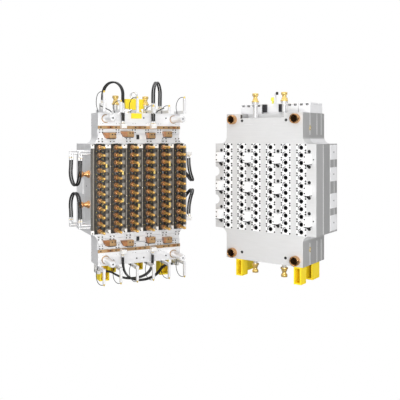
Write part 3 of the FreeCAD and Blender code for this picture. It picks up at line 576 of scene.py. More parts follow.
def stripper_details():
    """Screws of the stripper plate, and dark holes in the narrow left side of the core half."""
    piece = Piece("stripper_screws", CORE, "stripper", "screw_dark", "mould_steel")
    screw_pairs(piece, DOT_PAIRS, DOT_HALF_GAP, 0, (521,), 3.2, 0.4, "screw_bright")
    for sz in (-1, 1):
        for x in (-225, -30, 30, 225):
            disc(piece, x, 0, sz * 568, 6.5, 0.5, "screw_dark")
    merge_axis(piece.finish())
    side = Piece("edge_dots", CORE, "fixed_parts", "dark_hole", "mould_steel")
    for z in (592, 551, 529, 505):
        for sz in (-1, 1):
            disc(side, -CORE_TAB, CORE_PLATE_BACK - 12, sz * z, 3.4, 0.4, direction=LEFT)
    for y, z in ((350, 0), (130, 20)):
        disc(side, -CORE_SIDE, y, z, 6, 0.5, direction=LEFT)
    merge_axis(side.finish())


def tie_details():
    """Pairs of dark screws on the ties and on the stripper plate, and latch blocks on the left ties."""
    for mark, places, half_gap, heights in (("left", LOWER_PAIRS, LOWER_HALF_GAP, (399,)),
                                            ("right", DOT_PAIRS, DOT_HALF_GAP, TIE_DOT_Z)):
        piece = Piece("tie_screws_" + mark, CORE, mark + "_slides", "dark_hole", "slide_steel")
        screw_pairs(piece, places, half_gap, TIE_FRONT, heights)
        merge_axis(piece.finish())
    latch = Piece("middle_latch", CORE, "left_slides", "strip_aluminium", "slide_steel")
    for sz in (-1, 1):
        block(latch, (-6, 14), (2, TIE_FRONT - 0.1), (sz * 394, sz * 426), 1.5)
        block(latch, (-31, -7), (4, TIE_FRONT - 0.1), (sz * 394, sz * 430), 1.5, "dark_hole")
    latch.finish()
    lower = Piece("lower_pairs", CORE, "stripper", "dark_hole", "mould_steel")
    screw_pairs(lower, LOWER_PAIRS, LOWER_HALF_GAP, 0, (377,))
    merge_axis(lower.finish())


def slide_details():
    """Bright wear pads on the ribs of the slides, between the rings."""
    for side, mark in SLIDES:
        piece = Piece("slide_pads_" + mark, CORE, mark + "_slides", "gold_bit", "bronze")
        for x, z in STACKS:
            disc(piece, x + side * 27.5, 0, z + ROW_PITCH / 2, 2.6, 0.6, "gold_bit", sides=10)
        merge_axis(piece.finish())


CAM_HALF_WIDTH = 28.0
CAM_FRONT = -36.0
CAM_BACK = 7.4
CAM_PLACES = {"left": (-240.0, 93.0), "right": (-93.0, 240.0)}
CAM_LOW = {"left": 402.0, "right": 413.0}
CAM_HEIGHT = 46.0
WEDGE_LEAN = 0.35


def wedge(piece, left, right, low, high, look):
    """Copper wedge left of a cam block, with a slanted lower edge that runs out to the left."""
    front = [(right, low), (right, high), (left, high), (left, high - (high - low) * 0.15),
             (left + (right - left) * 0.42, low)]
    verts = [(x, CAM_FRONT + 2 + (right - x) * WEDGE_LEAN, z) for x, z in front]
    verts += [(x, TIE_FRONT - 0.6, z) for x, z in front]
    n = len(front)
    faces = [tuple(range(n)), tuple(reversed(range(n, 2 * n)))]
    faces += [(i, (i + 1) % n, n + (i + 1) % n, n + i) for i in range(n)]
    piece.add(verts, faces, look)


def cam_blocks():
    """Cam blocks with chamfered edges, two dark holes each, a dark slab of painted shadow under each and a
    copper wedge on their left.
    """
    for mark, places in CAM_PLACES.items():
        piece = Piece("cams_" + mark, CORE, mark + "_slides", "bronze")
        for x in places:
            left, right = x - CAM_HALF_WIDTH, x + CAM_HALF_WIDTH
            reach = 46 if x < 0 else 18
            for sz in (-1, 1):
                low, high = sorted((sz * CAM_LOW[mark], sz * (CAM_LOW[mark] + CAM_HEIGHT)))
                block(piece, (left, right), (CAM_FRONT, CAM_BACK), (low, high), 3.0)
                # Dark slab under the cam block: painted shadow.
                block(piece, (left - 12, right - 4), (CAM_FRONT + 4, CAM_BACK), (low - 6, low - 0.2), 1.0,
                      "dark_hole")
                for dx in (-6, 17):
                    disc(piece, x + dx, CAM_FRONT, low + 31, 5.6, 0.5)
                wedge(piece, left - reach, left - 0.2, low + 1, high - 1, "copper_wedge")
        merge_axis(piece.finish("cam_blocks_" + mark))


PIN_PROFILE = [(0, 0), (28, 0), (28, 262), (26.5, 268), (22, 278.3), (7, 278.3), (7, 274), (0, 274)]
PIN_BUSH_PROFILE = [(28.1, -78), (34, -78), (34, 6), (33, 8), (29.5, 8), (28.1, 6.5)]
PIN_FLANGE_PROFILE = [(34.1, -78), (40, -78), (38, 0), (40.4, 0), (40.4, 4), (39.4, 5), (34.1, 5)]


def guide_pins():
    """Polished pins with a jacking hole whose dark floor is painted shade, and their flanged bushes."""
    piece = Piece("pins_smooth", CORE, "fixed_parts", "pin_steel", "coupling_steel")
    bushes = Piece("bushes_smooth", CORE, "stripper", "bronze")
    for x, z in PIN_PLACES:
        lathe(piece, (x, CORE_PLATE_FRONT, z), FORWARD, PIN_PROFILE, 40)
        # Dark disc on the floor of the jacking hole: painted shade.
        disc(piece, x, -196.2, z, 6.6, 0.4)
        lathe(bushes, (x, 0, z), FORWARD, PIN_BUSH_PROFILE, 40)
        lathe(bushes, (x, 0, z), FORWARD, PIN_FLANGE_PROFILE, 40, look="mould_steel")
    merge_axis(piece.finish("guide_pins"))
    bushes.finish("pin_bushes")


# Couplings, fingers and ports

COUPLING_PROFILE = [
    (0, 0), (29, 0), (30, 1.5), (30, 10), (28, 13), (23, 15), (22, 25), (19, 31), (16.5, 36), (16.5, 44),
    (19, 49), (23, 53), (25, 57), (25.5, 60), (25.5, 72), (24, 75), (11, 75), (9, 73), (9, 40), (0, 40)]


def couplings():
    """Quick couplings with waist, collar, lip and an open bore, with a dark disc of painted shade at its
    bottom.
    """
    sets = (
        ("core_couplings", CORE, "fixed_parts", "coupling_brass",
         [((x, CORE_PIPE_Y, EDGE + 72), UP) for x in CORE_PIPE_X]),
        ("side_couplings", CORE, "stripper", "coupling_copper",
         [((-CORE_SIDE, 50.0, sz * 120.0), LEFT) for sz in (-1, 1)]),
        ("cavity_couplings", CAVITY, "fixed_parts", "coupling_brass",
         [((x, CAVITY_PIPE_Y, z), way) for z, way in ((700.0, UP), (-EDGE - 31, DOWN))
          for x in CAVITY_PIPE_X]),
    )
    for node_name, half, body, look, places in sets:
        piece = Piece(node_name + "_smooth", half, body, look, "coupling_brass")
        for start, way in places:
            lathe(piece, start, way, COUPLING_PROFILE, 32)
            inner = Vector(start) + Vector(way) * 41
            # Dark disc on the floor of the bore: painted shade.
            lathe(piece, inner, way, [(0, 0), (8.8, 0), (8.8, 2), (0, 2)], 20, look="dark_hole")
        merge_axis(piece.finish(node_name))


CORE_PIPE_PROFILE = [(0, 0), (20, 0), (20, 8), (18, 10), (18, 60), (24, 64), (24, 72), (0, 72)]
UPPER_PIPE_PROFILE = [(0, 0), (20, 0), (20, 12), (18.5, 14), (18.5, 112), (29, 118), (29, 130), (0, 130)]
LOWER_PIPE_PROFILE = [(0, 0), (18.2, 0), (19.8, 2), (19.8, 10), (17.5, 12), (17.5, 31), (0, 31)]


def pipes():
    """Water pipes with a collar at the foot, the upper ones with a wider collar at the top."""
    core = Piece("core_pipes_smooth", CORE, "fixed_parts", "coupling_steel")
    for x in CORE_PIPE_X:
        lathe(core, (x, CORE_PIPE_Y, EDGE), UP, CORE_PIPE_PROFILE, 28)
    merge_axis(core.finish("core_pipes"))
    cavity = Piece("cavity_pipes_smooth", CAVITY, "fixed_parts", "coupling_steel")
    for x in CAVITY_PIPE_X:
        lathe(cavity, (x, CAVITY_PIPE_Y, EDGE - 36), UP, UPPER_PIPE_PROFILE, 28)
        lathe(cavity, (x, CAVITY_PIPE_Y, -EDGE), DOWN, LOWER_PIPE_PROFILE, 28)
    merge_axis(cavity.finish("cavity_pipes"))


ARM_TOPS = [EDGE + rise for rise in (165.0, 97.0, 128.0, 64.0, 67.0, 139.0)]
ARM_BOTTOM = EDGE + 129.0
ARM_FRONT = -121.0
TIP_LENGTH = 16.0
TIP_PROFILE = [(0, 0), (7.6, 0), (7.6, 6), (6.4, 7), (6.4, 10), (5, 14.5), (3, TIP_LENGTH), (0, TIP_LENGTH)]


def finger_ends():
    """Rounded caps and thin bent air tubes of the fingers."""
    tips = Piece("tips_smooth", CORE, "stripper", "gold_bit", "coupling_steel")
    tubes = Piece("air_tubes", CORE, "stripper", "screw_dark", "coupling_steel")
    for k, x in enumerate(COLUMNS):
        for sz in (-1, 1):
            end = ARM_TOPS[k] if sz > 0 else ARM_BOTTOM
            lathe(tips, (x, ARM_FRONT, sz * (end - TIP_LENGTH)), (0, 0, sz), TIP_PROFILE, 20)
            route = [(x - 12, 8, sz * (EDGE - 1)), (x - 14, 4, sz * (EDGE + 14)),
                     (x - 40, -34, sz * (EDGE * 0.6 + end * 0.4)), (x - 46, -82, sz * (end - 32)),
                     (x - 28, -114, sz * (end - 5)), (x - 8.4, ARM_FRONT, sz * (end - 9))]
            line = spline_points("air_tube", route, 8)
            round_tube(tubes, line, 2.6, 10)
    merge_axis(tips.finish("finger_tips"))
    tubes.finish("finger_tubes")


AIR_PIPES = (
    [(-244, -6, EDGE + 4), (-252, -6, 622), (-300, -10, 642), (-330, -16, 655), (-339, -16, 657)],
    [(135, -6, EDGE + 4), (141, -6, 622), (170, -8, 637), (196, -12, 648), (203, -12, 650)],
)


def air_pipes():
    """Dark pipes and a bright bar at the top edge of the stripper plate, and a lifting lug."""
    piece = Piece("air_pipes", CORE, "stripper", "screw_dark", "coupling_steel")
    for route in AIR_PIPES:
        round_tube(piece, spline_points("air_pipe", route, 8), 4.2, 12)
    round_tube(piece, [(-186, 8, EDGE - 4), (-181, 4, EDGE + 1), (-71, -6, 633)], 6.0, 12, "coupling_steel")
    piece.finish()
    lug = Piece("lifting_lug", CORE, "stripper", "yellow_paint")
    block(lug, (-80, 10), (-12, -0.2), (562, 604), 2.5)
    block(lug, (-80, 10), (-10, 3.8), (604.2, 612), 1.5, "mould_steel")
    lug.finish()


def lifting_eye():
    """Forged ring with a collar on the lifting bracket."""
    piece = Piece("eye_forged", CORE, "fixed_parts", "coupling_steel")
    seat, depth = EDGE + 122.0, 160.8
    lathe(piece, (0, depth, seat), UP, [(0, 0), (8, 0), (7.8, 3), (6.5, 6), (6, 9), (0, 9)], 24)
    ring, bar, steps, sides = 26.0, 7.4, 48, 16
    middle = Vector((0, depth, seat + 34.0))
    verts = []
    for i in range(steps):
        t = 2 * math.pi * i / steps
        out = Vector((math.sin(t), 0, math.cos(t)))
        verts += ring_points(middle + out * ring, out, Vector(BACKWARD), bar, sides)
    piece.add(verts, ring_faces(steps, sides, closed=True))
    merge_axis(piece.finish("lifting_eye"))


# Hoses and their ports

HOSE_RADIUS = 7.5
HOSE_SIDES = 16
HOSE_STEPS = {
    "hose_top_left": (15.0, 10.0),
    "hose_top_right": (14.5, -10.6),
    "hose_bottom_left": (0.0, -20.0),
    "hose_bottom_right": (0.0, -20.0),
    "hose_side_left": (18.0, 0.0),
    "hose_side_right": (19.0, 0.0),
}
HOSE_ROUTES = {
    "hose_top_left": [
        (-160, -25, 541), (-160, -25, 601), (-164, -27, 698), (-160, -22, 793), (-194, 26, 855),
        (-243, 98, 855), (-277, 150, 793), (-277, 150, 715)],
    "hose_top_right": [
        (94, -25, 541), (94, -25, 606), (92, -28, 704), (95, -22, 803), (136, 30, 867),
        (186, 102, 867), (226, 154, 803), (222, 150, 739), (222, 150, 676)],
    "hose_bottom_left": [
        (-160, -25, -541), (-160, -25, -592), (-152, -32, -655), (-114, -46, -706), (-54, -56, -730),
        (20, -54, -732), (88, -36, -722), (150, -2, -702), (197, 34, -670), (245, 50, -650),
        (298, 50, -650)],
    "hose_bottom_right": [
        (94, -25, -541), (94, -25, -588), (88, -26, -644), (54, -22, -692), (-4, -14, -718),
        (-74, 0, -726), (-142, 18, -718), (-198, 38, -692), (-244, 50, -658), (-298, 50, -658)],
}
LEFT_LOOP = [(-500, 16, 230), (-500, 16, 182), (-504, 17, 92), (-510, 58, 34), (-520, 132, 26),
             (-530, 182, 76), (-534, 188, 136), (-530, 184, 184), (-530, 184, 230)]
RIGHT_LOOP = [(430, 18, 236), (430, 18, 186), (446, 20, 104), (482, 50, 50), (504, 112, 32),
              (494, 170, 70), (460, 190, 124), (434, 184, 164), (434, 184, 206)]
LEVELS = {"_upper": 1, "_lower": -1}
for mark, sz in LEVELS.items():
    HOSE_ROUTES["hose_side_left" + mark] = [(x, y, sz * z) for x, y, z in LEFT_LOOP]
    HOSE_ROUTES["hose_side_right" + mark] = [(x, y, sz * z) for x, y, z in RIGHT_LOOP]
FERRULE_LENGTH = 26.0


def hose_pairs():
    """Route of every hose by name, the second of a pair beside the first."""
    pairs = {}
    for name, route in HOSE_ROUTES.items():
        step = next(Vector((*value, 0)) for start, value in HOSE_STEPS.items() if name.startswith(start))
        pairs[name + "_1"] = [Vector(p) for p in route]
        pairs[name + "_2"] = [Vector(p) + step for p in route]
    return pairs


def lay_hoses():
    """Smooth tubes that bend between the stripper plate and the fixed plates."""
    for name, route in hose_pairs().items():
        points = spline_points(name, [CORE @ p for p in route])
        piece = Piece(name + "_tube", Matrix.Identity(4), None, "hose_rubber")
        round_tube(piece, points, HOSE_RADIUS * MM, HOSE_SIDES)
        mesh = bpy.data.meshes.new(piece.name)
        mesh.from_pydata(piece.verts, [], piece.faces)
        mesh.shade_smooth()
        mesh.materials.append(looks["hose_rubber"])
        hose = new_object(piece.name, mesh)
        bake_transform(hose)
        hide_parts(name)


def ferrule(piece, tip, beside):
    """Crimped sleeve with a gold ring that ends where the hose begins."""
    way = (beside - tip).normalized()
    start = tip - way * FERRULE_LENGTH
    lathe(piece, start, way, [(0, 0), (8.2, 0), (8.2, 7), (7.2, 8), (7.2, 10), (8.2, 11), (8.2, 25.4),
                              (7.6, 26), (0, 26)], 20)
    lathe(piece, start + way * 7.6, way, [(7.3, 0), (8.3, 0), (8.3, 2.6), (7.3, 2.6)], 20, look="gold_bit")


GUARD_SPAN = (602.0, 690.0)
GUARD_MAX_Y = -15.0
GUARD_RADII = (7.9, 9.0)


def guard(piece, line, sides=16):
    """Thin bright sleeve round a run of hose, open at both ends."""
    way = (line[-1] - line[0]).normalized()
    across = way.orthogonal().normalized()
    inner, outer = GUARD_RADII
    rings = [(line[0], inner)] + [(p, outer) for p in line] + [(p, inner) for p in reversed(line[1:])]
    verts = []
    for point, radius in rings:
        verts += ring_points(point, across, way.cross(across), radius, sides)
    piece.add(verts, ring_faces(len(rings), sides, closed=True))


def elbow(piece, x, y, z_pipe, z_end):
    """Bent pipe from the left side face towards the middle of the mould."""
    inward = math.copysign(1, z_end - z_pipe)
    route = [(-CORE_SIDE, y, z_pipe), (x + 22, y, z_pipe), (x + 2, y, z_pipe), (x, y, z_pipe),
             (x, y, z_pipe + inward * 2), (x, y, z_end - inward * 2), (x, y, z_end)]
    round_tube(piece, spline_points("elbow", route, 8), 7.2, 16)


def side_elbows(piece, pair, index):
    """Both elbows of each pair of hoses on the left side, one inside the other."""
    routes = hose_pairs()
    for mark, sz in LEVELS.items():
        ends = sorted(tuple(routes[pair + mark + n][index]) for n in ("_1", "_2"))
        for (x, y, _), z in zip(ends, (300.0, 280.0)):
            elbow(piece, x, y, sz * z, sz * 256.0)


def pair_span(x, name):
    """Left and right side of a block that takes both hoses of a pair."""
    other = x + HOSE_STEPS[name][0]
    return min(x, other) - 14, max(x, other) + 14


def ports_on_stripper():
    """Blocks, elbows and sleeves of the hoses on the stripper plate."""
    piece = Piece("stripper_ports", CORE, "stripper", "coupling_steel")
    for name, route in hose_pairs().items():
        ferrule(piece, route[0], route[1])
        if name.startswith("hose_top"):
            line = [p for p in spline_points(name + "_guard", route) if p.y < GUARD_MAX_Y]
            guard(piece, [p for p in line if GUARD_SPAN[0] < p.z < GUARD_SPAN[1]])
    for x, name in ((-160.0, "hose_top_left"), (94.0, "hose_top_right")):
        for sz in (-1, 1):
            block(piece, pair_span(x, name), (-58, -2), (sz * 482, sz * 515), 2.5, "strip_aluminium")
    for sz in (-1, 1):
        block(piece, (CORE_SIDE, CORE_SIDE + 54), (4, 34), (sz * 262, sz * 290), 2.5, "strip_aluminium")
    side_elbows(piece, "hose_side_left", 0)
    merge_axis(piece.finish("ports_on_stripper"))


def foot_port(piece, side, z):
    """Bracket below the core plate for the ends of a pair of hoses."""
    x = (side * 324.0, side * 352.0)
    block(piece, x, (CORE_PLATE_FRONT + 4, CORE_PLATE_FRONT + 42), (z - 14, -EDGE), 2.0, "strip_aluminium")
    block(piece, x, (18, CORE_PLATE_FRONT + 41.5), (z - 13.9, z + 14), 2.0, "strip_aluminium")


def ports_on_plates():
    """Blocks, elbows and sleeves of the hoses on the fixed plates."""
    piece = Piece("plate_ports", CORE, "fixed_parts", "coupling_steel")
    for route in hose_pairs().values():
        ferrule(piece, route[-1], route[-2])
    for x, height, name in ((-277.0, 83.0, "hose_top_left"), (222.0, 44.0, "hose_top_right")):
        block(piece, pair_span(x, name), (120, 184), (EDGE, EDGE + height), 2.5, "strip_aluminium")
    foot_port(piece, 1, -650.0)
    foot_port(piece, -1, -658.0)
    for sz in (-1, 1):
        block(piece, (CORE_SIDE, CORE_SIDE + 56), (CORE_PLATE_BACK - 32, CORE_PLATE_BACK - 2),
              (sz * 232, sz * 260), 2.5, "strip_aluminium")
    side_elbows(piece, "hose_side_left", -1)
    merge_axis(piece.finish("ports_on_plates"))


# Cavity half

BORE_RADIUS = 16.0
BORE_MOUTH = 17.6
BORE_END = 91.0
INSERT_FACE = -0.6
INSERT_LIP = [(18.2, 0.5), (25.5, 0.5), (25.5, 1.2), (24.6, 1.9), (20, 1.9), (18.2, 0.9)]
INSERT_SHADE_ARC = [(25.7, 0.02), (28.9, 0.02), (28.9, 1.9), (21.5, 1.9), (21.5, 1.4), (25.7, 1.4)]
LOCK_COLUMNS = [k * COLUMN_PITCH for k in (-3, -1, 1, 3)]
LOCK_FRONT = -59.6


def bored_block(piece, x, z, front, back, sides=32):
    """Insert body with an open blind bore whose walls are painted shade, darker than its face."""
    corner = math.atan2(INSERT_HALF_HEIGHT, INSERT_HALF_WIDTH)
    angles = sorted([2 * math.pi * i / sides for i in range(sides)]
                    + [corner, math.pi - corner, math.pi + corner, 2 * math.pi - corner])
    n = len(angles)

    def outline(y, inset=0.0):
        ring = []
        for t in angles:
            c, d = math.cos(t), math.sin(t)
            reach = min(INSERT_HALF_WIDTH / max(abs(c), 1e-9), INSERT_HALF_HEIGHT / max(abs(d), 1e-9))
            ring.append((x + reach * c * (1 - inset), y, z + reach * d * (1 - inset)))
        return ring

    def circle(y, radius):
        return [(x + radius * math.cos(t), y, z + radius * math.sin(t)) for t in angles]

    bright = [outline(back), outline(front + 0.9), outline(front, 0.022), circle(front, BORE_MOUTH)]
    verts = [v for ring in bright for v in ring]
    faces = [(r * n + i, r * n + (i + 1) % n, (r + 1) * n + (i + 1) % n, (r + 1) * n + i)
             for r in range(len(bright) - 1) for i in range(n)]
    faces.append(tuple(reversed(range(n))))
    verts += circle(front + 1.6, BORE_RADIUS) + circle(BORE_END, BORE_RADIUS)
    first = (len(bright) - 1) * n
    dark = [(a + i, a + (i + 1) % n, a + n + (i + 1) % n, a + n + i)
            for a in (first, first + n) for i in range(n)]
    dark.append(tuple(range(first + 2 * n, first + 3 * n)))
    count = len(piece.faces)
    piece.add(verts, faces + dark)
    # The bore's walls are painted shade.
    mark = piece.look_index("painted_bore_shade")
    for k in range(count + len(faces), len(piece.marks)):
        piece.marks[k] = mark


def cavity_inserts():
    """Inserts with a chamfered bore in painted shade, a raised lip, a grey arc of painted shade over the top
    and left of its rim and four dark screw holes.
    """
    piece = Piece("inserts_dressed", CAVITY, "fixed_parts", "insert_steel")
    for x, z in STACKS:
        bored_block(piece, x, z, INSERT_FACE, 95.0)
        lathe(piece, (x, 0, z), FORWARD, INSERT_LIP, 32)
        # Grey arc over the top and left of the rim: painted shade.
        lathe(piece, (x, INSERT_FACE, z), FORWARD, INSERT_SHADE_ARC, 12, (0, 110), "painted_arc_shade")
        for dx in (-36, 36):
            for dz in (-21, 21):
                disc(piece, x + dx, INSERT_FACE, z + dz, 7.4, 0.3, sides=12)
    merge_axis(piece.finish("cavity_inserts"))


def lock_blocks():
    """Raised blocks with chamfered edges and two holes, a dark slab of painted shade along the underside of
    each and a dark mark of painted shadow below it.
    """
    piece = Piece("locks_dressed", CAVITY, "fixed_parts", "insert_steel", "cavity_steel")
    for x in LOCK_COLUMNS:
        for j in (-1, 0, 1):
            z = j * 4 * ROW_PITCH
            block(piece, (x - 24.5, x + 24.5), (LOCK_FRONT, -0.1), (z - 37.5, z + 42), 3.0)
            # Dark slab along the block's underside: painted shade.
            block(piece, (x - 23, x + 24), (-57, -0.1), (z - 42, z - 37.7), 1.0, "dark_hole")
            # Dark mark on the face below the block: painted shadow.
            block(piece, (x - 22, x - 4), (-1.2, -0.1), (z - 62, z - 42.2), 0.4, "dark_hole")
            for dz in (-20, 20):
                disc(piece, x - 12, LOCK_FRONT, z + dz, 6.0, 0.4)
    merge_axis(piece.finish("lock_blocks"))


def face_screws():
    """Screws and dowels of the cavity plate, and thin bright and grey marks near its top edge."""
    piece = Piece("plate_screws", CAVITY, "fixed_parts", "screw_bright", "cavity_steel")
    for x in LOCK_COLUMNS:
        for z in (-300, -180, -60, 60, 180, 300):
            disc(piece, x, 0, z, 13.5, 0.4)
            disc(piece, x + 2, -0.4, z - 3, 3, 0.3, "screw_dark")
    for x, z in ((-201, 548), (206, 548), (-201, -545), (202, -547)):
        disc(piece, x, 0, z, 12, 0.5)
    for sz in (-1, 1):
        disc(piece, 442, 0, sz * 238, 5.5, 0.5)
    for left, right in ((-178, -96), (89, 202)):
        block(piece, (left, right), (-0.3, -0.02), (515, 517.5), 0.1, "mould_steel")
    block(piece, (-216, -198), (-0.6, -0.02), (566, 598), 0.2, "strip_grey")
    merge_axis(piece.finish())


def seam(piece, side, y, half_width, z):
    """Thin bright strip, a painted highlight of a chamfer, that stands on a narrow side of the plates."""
    x = sorted((side + math.copysign(0.02, side), side + math.copysign(0.4, side)))
    block(piece, x, (y - half_width, y + half_width), z, 0.1)


def seams():
    """Painted highlights on the chamfers where the plates of each half meet on one side, with brass bits on
    the cavity half.
    """
    height = (-STACK_HALF_HEIGHT, STACK_HALF_HEIGHT)
    core = Piece("core_seams", CORE, "fixed_parts", "painted_seam_highlight", "mould_steel")
    for y in (CORE_PLATE_BACK, CORE_BACKING_BACK):
        seam(core, -CORE_SIDE, y, 2.5, height)
    core.finish()
    cavity = Piece("cavity_seams", CAVITY, "fixed_parts", "painted_seam_highlight", "mould_steel")
    for y in (MANIFOLD_FRONT, MANIFOLD_BACK, CAVITY_BACKING_BACK):
        seam(cavity, CAVITY_SIDE, y, 3.5, height)
        for sz in (-1, 1):
            seam(cavity, CAVITY_TAB, y, 3.5, (sz * 430, sz * (EDGE - 2)))
    for sz in (-1, 1):
        for step, rise in ((-12, 0), (12, 4), (0, 16), (0, -12)):
            disc(cavity, CAVITY_TAB, MANIFOLD_FRONT + step, sz * 484 + rise, 6, 2, "gold_bit", RIGHT)
    merge_axis(cavity.finish())


BUSH_PROFILE = [(28.1, -128), (33, -128), (33, 0), (39.5, 0), (39.5, 34), (36, 39.5), (32, 39.5), (28.1, 35)]


def guide_bushes():
    """Bronze bushes of the cavity half, with a dark disc of painted shade inside."""
    piece = Piece("guide_bushes_smooth", CAVITY, "fixed_parts", "bush_bronze", "bronze")
    for x, z in PIN_PLACES:
        lathe(piece, (x, 0, z), FORWARD, BUSH_PROFILE, 40)
        # Dark disc deep in the bore: painted shade.
        lathe(piece, (x, 60, z), FORWARD, [(0, 0), (28, 0), (28, 1), (0, 1)], 40, look="dark_hole")
    merge_axis(piece.finish("guide_bushes"))


RING_FLANGE_PROFILE = [(22.1, -6), (119.9, -6), (119.9, -0.2), (100, -0.2), (100, 12), (97, 15), (24, 15),
                       (22.1, 13)]
SPRUE_PROFILE = [(4, 0), (18.2, 0), (18.2, 49.8), (14, 49.8), (9, 43), (4, 38)]
RING_SCREW_CIRCLE = 62.0


def rear_fittings():
    """Locating ring with screws and the hollow seat of the sprue bush."""
    piece = Piece("ring_dressed", CAVITY, "fixed_parts", "mould_steel")
    lathe(piece, (0, CAVITY_BACK, 0), BACKWARD, RING_FLANGE_PROFILE, 64)
    for i in range(6):
        t = math.radians(30 + 60 * i)
        x, z = RING_SCREW_CIRCLE * math.cos(t), RING_SCREW_CIRCLE * math.sin(t)
        socket_screw(piece, (x, CAVITY_BACK + 13.6, z), BACKWARD, 9, 1.2)
    lathe(piece, (0, CAVITY_BACKING_BACK + 0.2, 0), BACKWARD, SPRUE_PROFILE, 32)
    merge_axis(piece.finish("locating_ring", "sprue_bush"))


BOX_SPANS = ((-304, -100), (138, 238), (242, 344))
BOX_FRONT = 150.0
BOX_TOP = EDGE + 86
CAP_PROFILE = [(0, 0), (8, 0), (8, 24), (17, 26), (17, 44), (12, 54), (0, 54)]
KNOB_PROFILE = [(0, 0), (9, 0), (9, 22), (6, 28), (0, 28)]


def heater_boxes():
    """Terminal boxes with lids and dark catches, and cap, post, plug and knob of the connector panel."""
    piece = Piece("boxes_dressed", CAVITY, "fixed_parts", "box_grey")
    for left, right in BOX_SPANS:
        block(piece, (left, right), (BOX_FRONT, 385), (EDGE, BOX_TOP - 14.2), 2.5)
        block(piece, (left, right), (BOX_FRONT, 385), (BOX_TOP - 13.4, BOX_TOP), 2.5)
        count = round((right - left) / 50)
        for k in range(count):
            x = left + (right - left) * (k + 0.5) / count
            block(piece, (x - 11, x + 11), (148.4, 149.9), (BOX_TOP - 24, BOX_TOP - 8), 0.6, "screw_dark")
            block(piece, (x - 4, x + 4), (147.2, 148.3), (BOX_TOP - 20, BOX_TOP - 12), 0.4, "screw_bright")
    merge_axis(piece.finish("heater_boxes"))
    caps = Piece("panel_caps", CAVITY, "fixed_parts", "yellow_cap", "box_grey")
    lathe(caps, (-20, 200, BOX_TOP), UP, CAP_PROFILE, 20)
    block(caps, (-6, 10), (192, 208), (BOX_TOP, EDGE + 172), 1.5, "box_grey")
    block(caps, (12, 30), (190, 206), (EDGE + 160, EDGE + 184), 2.0, "dark_hole")
    lathe(caps, (136, 146, EDGE + 100), UP, KNOB_PROFILE, 16, look="gold_bit")
    merge_axis(caps.finish())


def side_covers():
    """Cover plates with one dark screw each."""
    piece = Piece("covers_dressed", CAVITY, "fixed_parts", "box_grey")
    front = CAVITY_SIDE + 4.4
    for low, high in ((230, 350), (55, 168), (-163, -43), (-344, -219)):
        block(piece, (CAVITY_SIDE, front), (264, 386), (low, high), 1.2)
        disc(piece, front, 325, (low + high) / 2, 6, 0.5, direction=RIGHT)
    merge_axis(piece.finish("side_covers"))


# Camera, floor and light

CAMERA_LENS = 53.80
CAMERA_SENSOR = 36.0
CAMERA_BACK = -4852.8
CAMERA_HEIGHT = 1162.7
CAMERA_SHIFT = (0.0135, -0.159)
CORE_HALF_START_X = -441.0
FLOOR_REACH = 12.0


def set_camera():
    """Level camera in front of the gap between both halves."""
    data = bpy.data.cameras.new("camera")
    data.lens = CAMERA_LENS
    data.sensor_width = CAMERA_SENSOR
    data.shift_x, data.shift_y = CAMERA_SHIFT
    camera = new_object("camera", data)
    start = CORE.translation
    camera.location = (start.x - CORE_HALF_START_X * MM, start.y + CAMERA_BACK * MM, CAMERA_HEIGHT * MM)
    camera.rotation_euler = (math.radians(90), 0, 0)
    bpy.context.scene.camera = camera


def lay_floor():
    """Pale floor that looks white to the camera and is grey in the reflections."""
    mesh = bpy.data.meshes.new("floor")
    corners = [(sx * FLOOR_REACH, sy * FLOOR_REACH, 0) for sx, sy in ((-1, -1), (1, -1), (1, 1), (-1, 1))]
    mesh.from_pydata(corners, [], [(0, 1, 2, 3)])
    floor = new_object("floor", mesh)
    made = bpy.data.materials.new("floor_white")
    made.use_nodes = True
    tree = made.node_tree
    tree.nodes.clear()
    out = node(tree, "OutputMaterial")
    glow = node(tree, "Emission", {"Color": (1, 1, 1, 1)})
    diffuse = node(tree, "BsdfDiffuse", {"Color": (0.86, 0.86, 0.86, 1)})
    mirrored = node(tree, "BsdfDiffuse", {"Color": (0.22, 0.22, 0.22, 1)})
    ray = node(tree, "LightPath")
    shown = mix_by_ray(tree, ray, "Is Glossy Ray", diffuse, mirrored)
    mix = mix_by_ray(tree, ray, "Is Camera Ray", shown, glow)
    link(mix, "Shader", out, "Surface")
    mesh.materials.append(made)


BRIGHT_POLE = (-0.30, -0.66, 0.68)


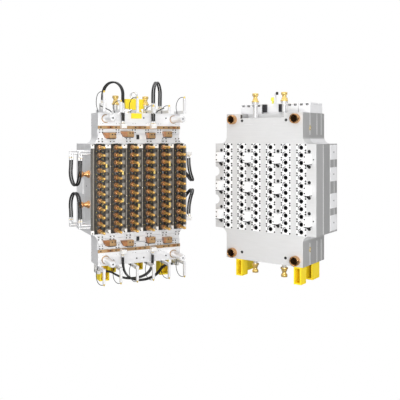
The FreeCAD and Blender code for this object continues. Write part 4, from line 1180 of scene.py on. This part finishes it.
def set_world():
    """White for the camera, a graded studio for reflections."""
    world = bpy.data.worlds.new("studio")
    world.use_nodes = True
    tree = world.node_tree
    tree.nodes.clear()
    out = node(tree, "OutputWorld")
    seen = node(tree, "Background", {"Color": (1, 1, 1, 1)})
    light = node(tree, "Background", {"Strength": 1.0})
    shine = node(tree, "Background")
    place = node(tree, "TexCoord")
    tilt = Vector(BRIGHT_POLE).rotation_difference(Vector(UP)).to_euler()
    turn = node(tree, "Mapping", {"Rotation": tilt})
    link(place, "Generated", turn, "Vector")
    for source, output, stops, target in (
            (turn, "Vector", [(0.0, (0.34, 0.34, 0.35)), (0.9, (1.0, 1.0, 1.0))], light),
            (place, "Generated", [(0.0, (0.10, 0.10, 0.10)), (0.35, (1.0, 1.0, 1.0))], shine)):
        split = node(tree, "SeparateXYZ")
        ramp = colour_ramp(tree, stops)
        link(source, output, split, "Vector")
        link(split, "Z", ramp, "Fac")
        link(ramp, "Color", target, "Color")
    ray = node(tree, "LightPath")
    metal = mix_by_ray(tree, ray, "Is Glossy Ray", light, shine)
    mix = mix_by_ray(tree, ray, "Is Camera Ray", metal, seen)
    link(mix, "Shader", out, "Surface")
    bpy.context.scene.world = world
    bpy.context.scene.view_settings.view_transform = "Standard"


def area_light(name, place, target, size, power):
    """Rectangular lamp that points at a target."""
    data = bpy.data.lights.new(name, "AREA")
    data.shape = "RECTANGLE"
    data.size, data.size_y = size
    data.energy = power
    lamp = new_object(name, data)
    lamp.location = place
    lamp.rotation_euler = (Vector(target) - Vector(place)).to_track_quat("-Z", "Y").to_euler()


def set_lights():
    """Two lamps in front, one of them low, and one above."""
    area_light("key", (-0.9, -5.4, 1.7), (0, 0, 0.7), (2.2, 2.2), 38)
    area_light("low", (0.9, -4.4, 0.45), (-0.3, 0, 0.25), (2.4, 0.5), 80)
    area_light("top", (0, 0.3, 4.2), (0, 0, 0.7), (3.0, 2.0), 40)


set_camera()
set_world()
lay_floor()
set_lights()
paint_nodes()
lay_hoses()
neck_rings()
core_pins()
strips()
stripper_details()
tie_details()
slide_details()
cam_blocks()
guide_pins()
couplings()
pipes()
finger_ends()
air_pipes()
lifting_eye()
ports_on_stripper()
ports_on_plates()
cavity_inserts()
lock_blocks()
face_screws()
seams()
guide_bushes()
rear_fittings()
heater_boxes()
side_covers()
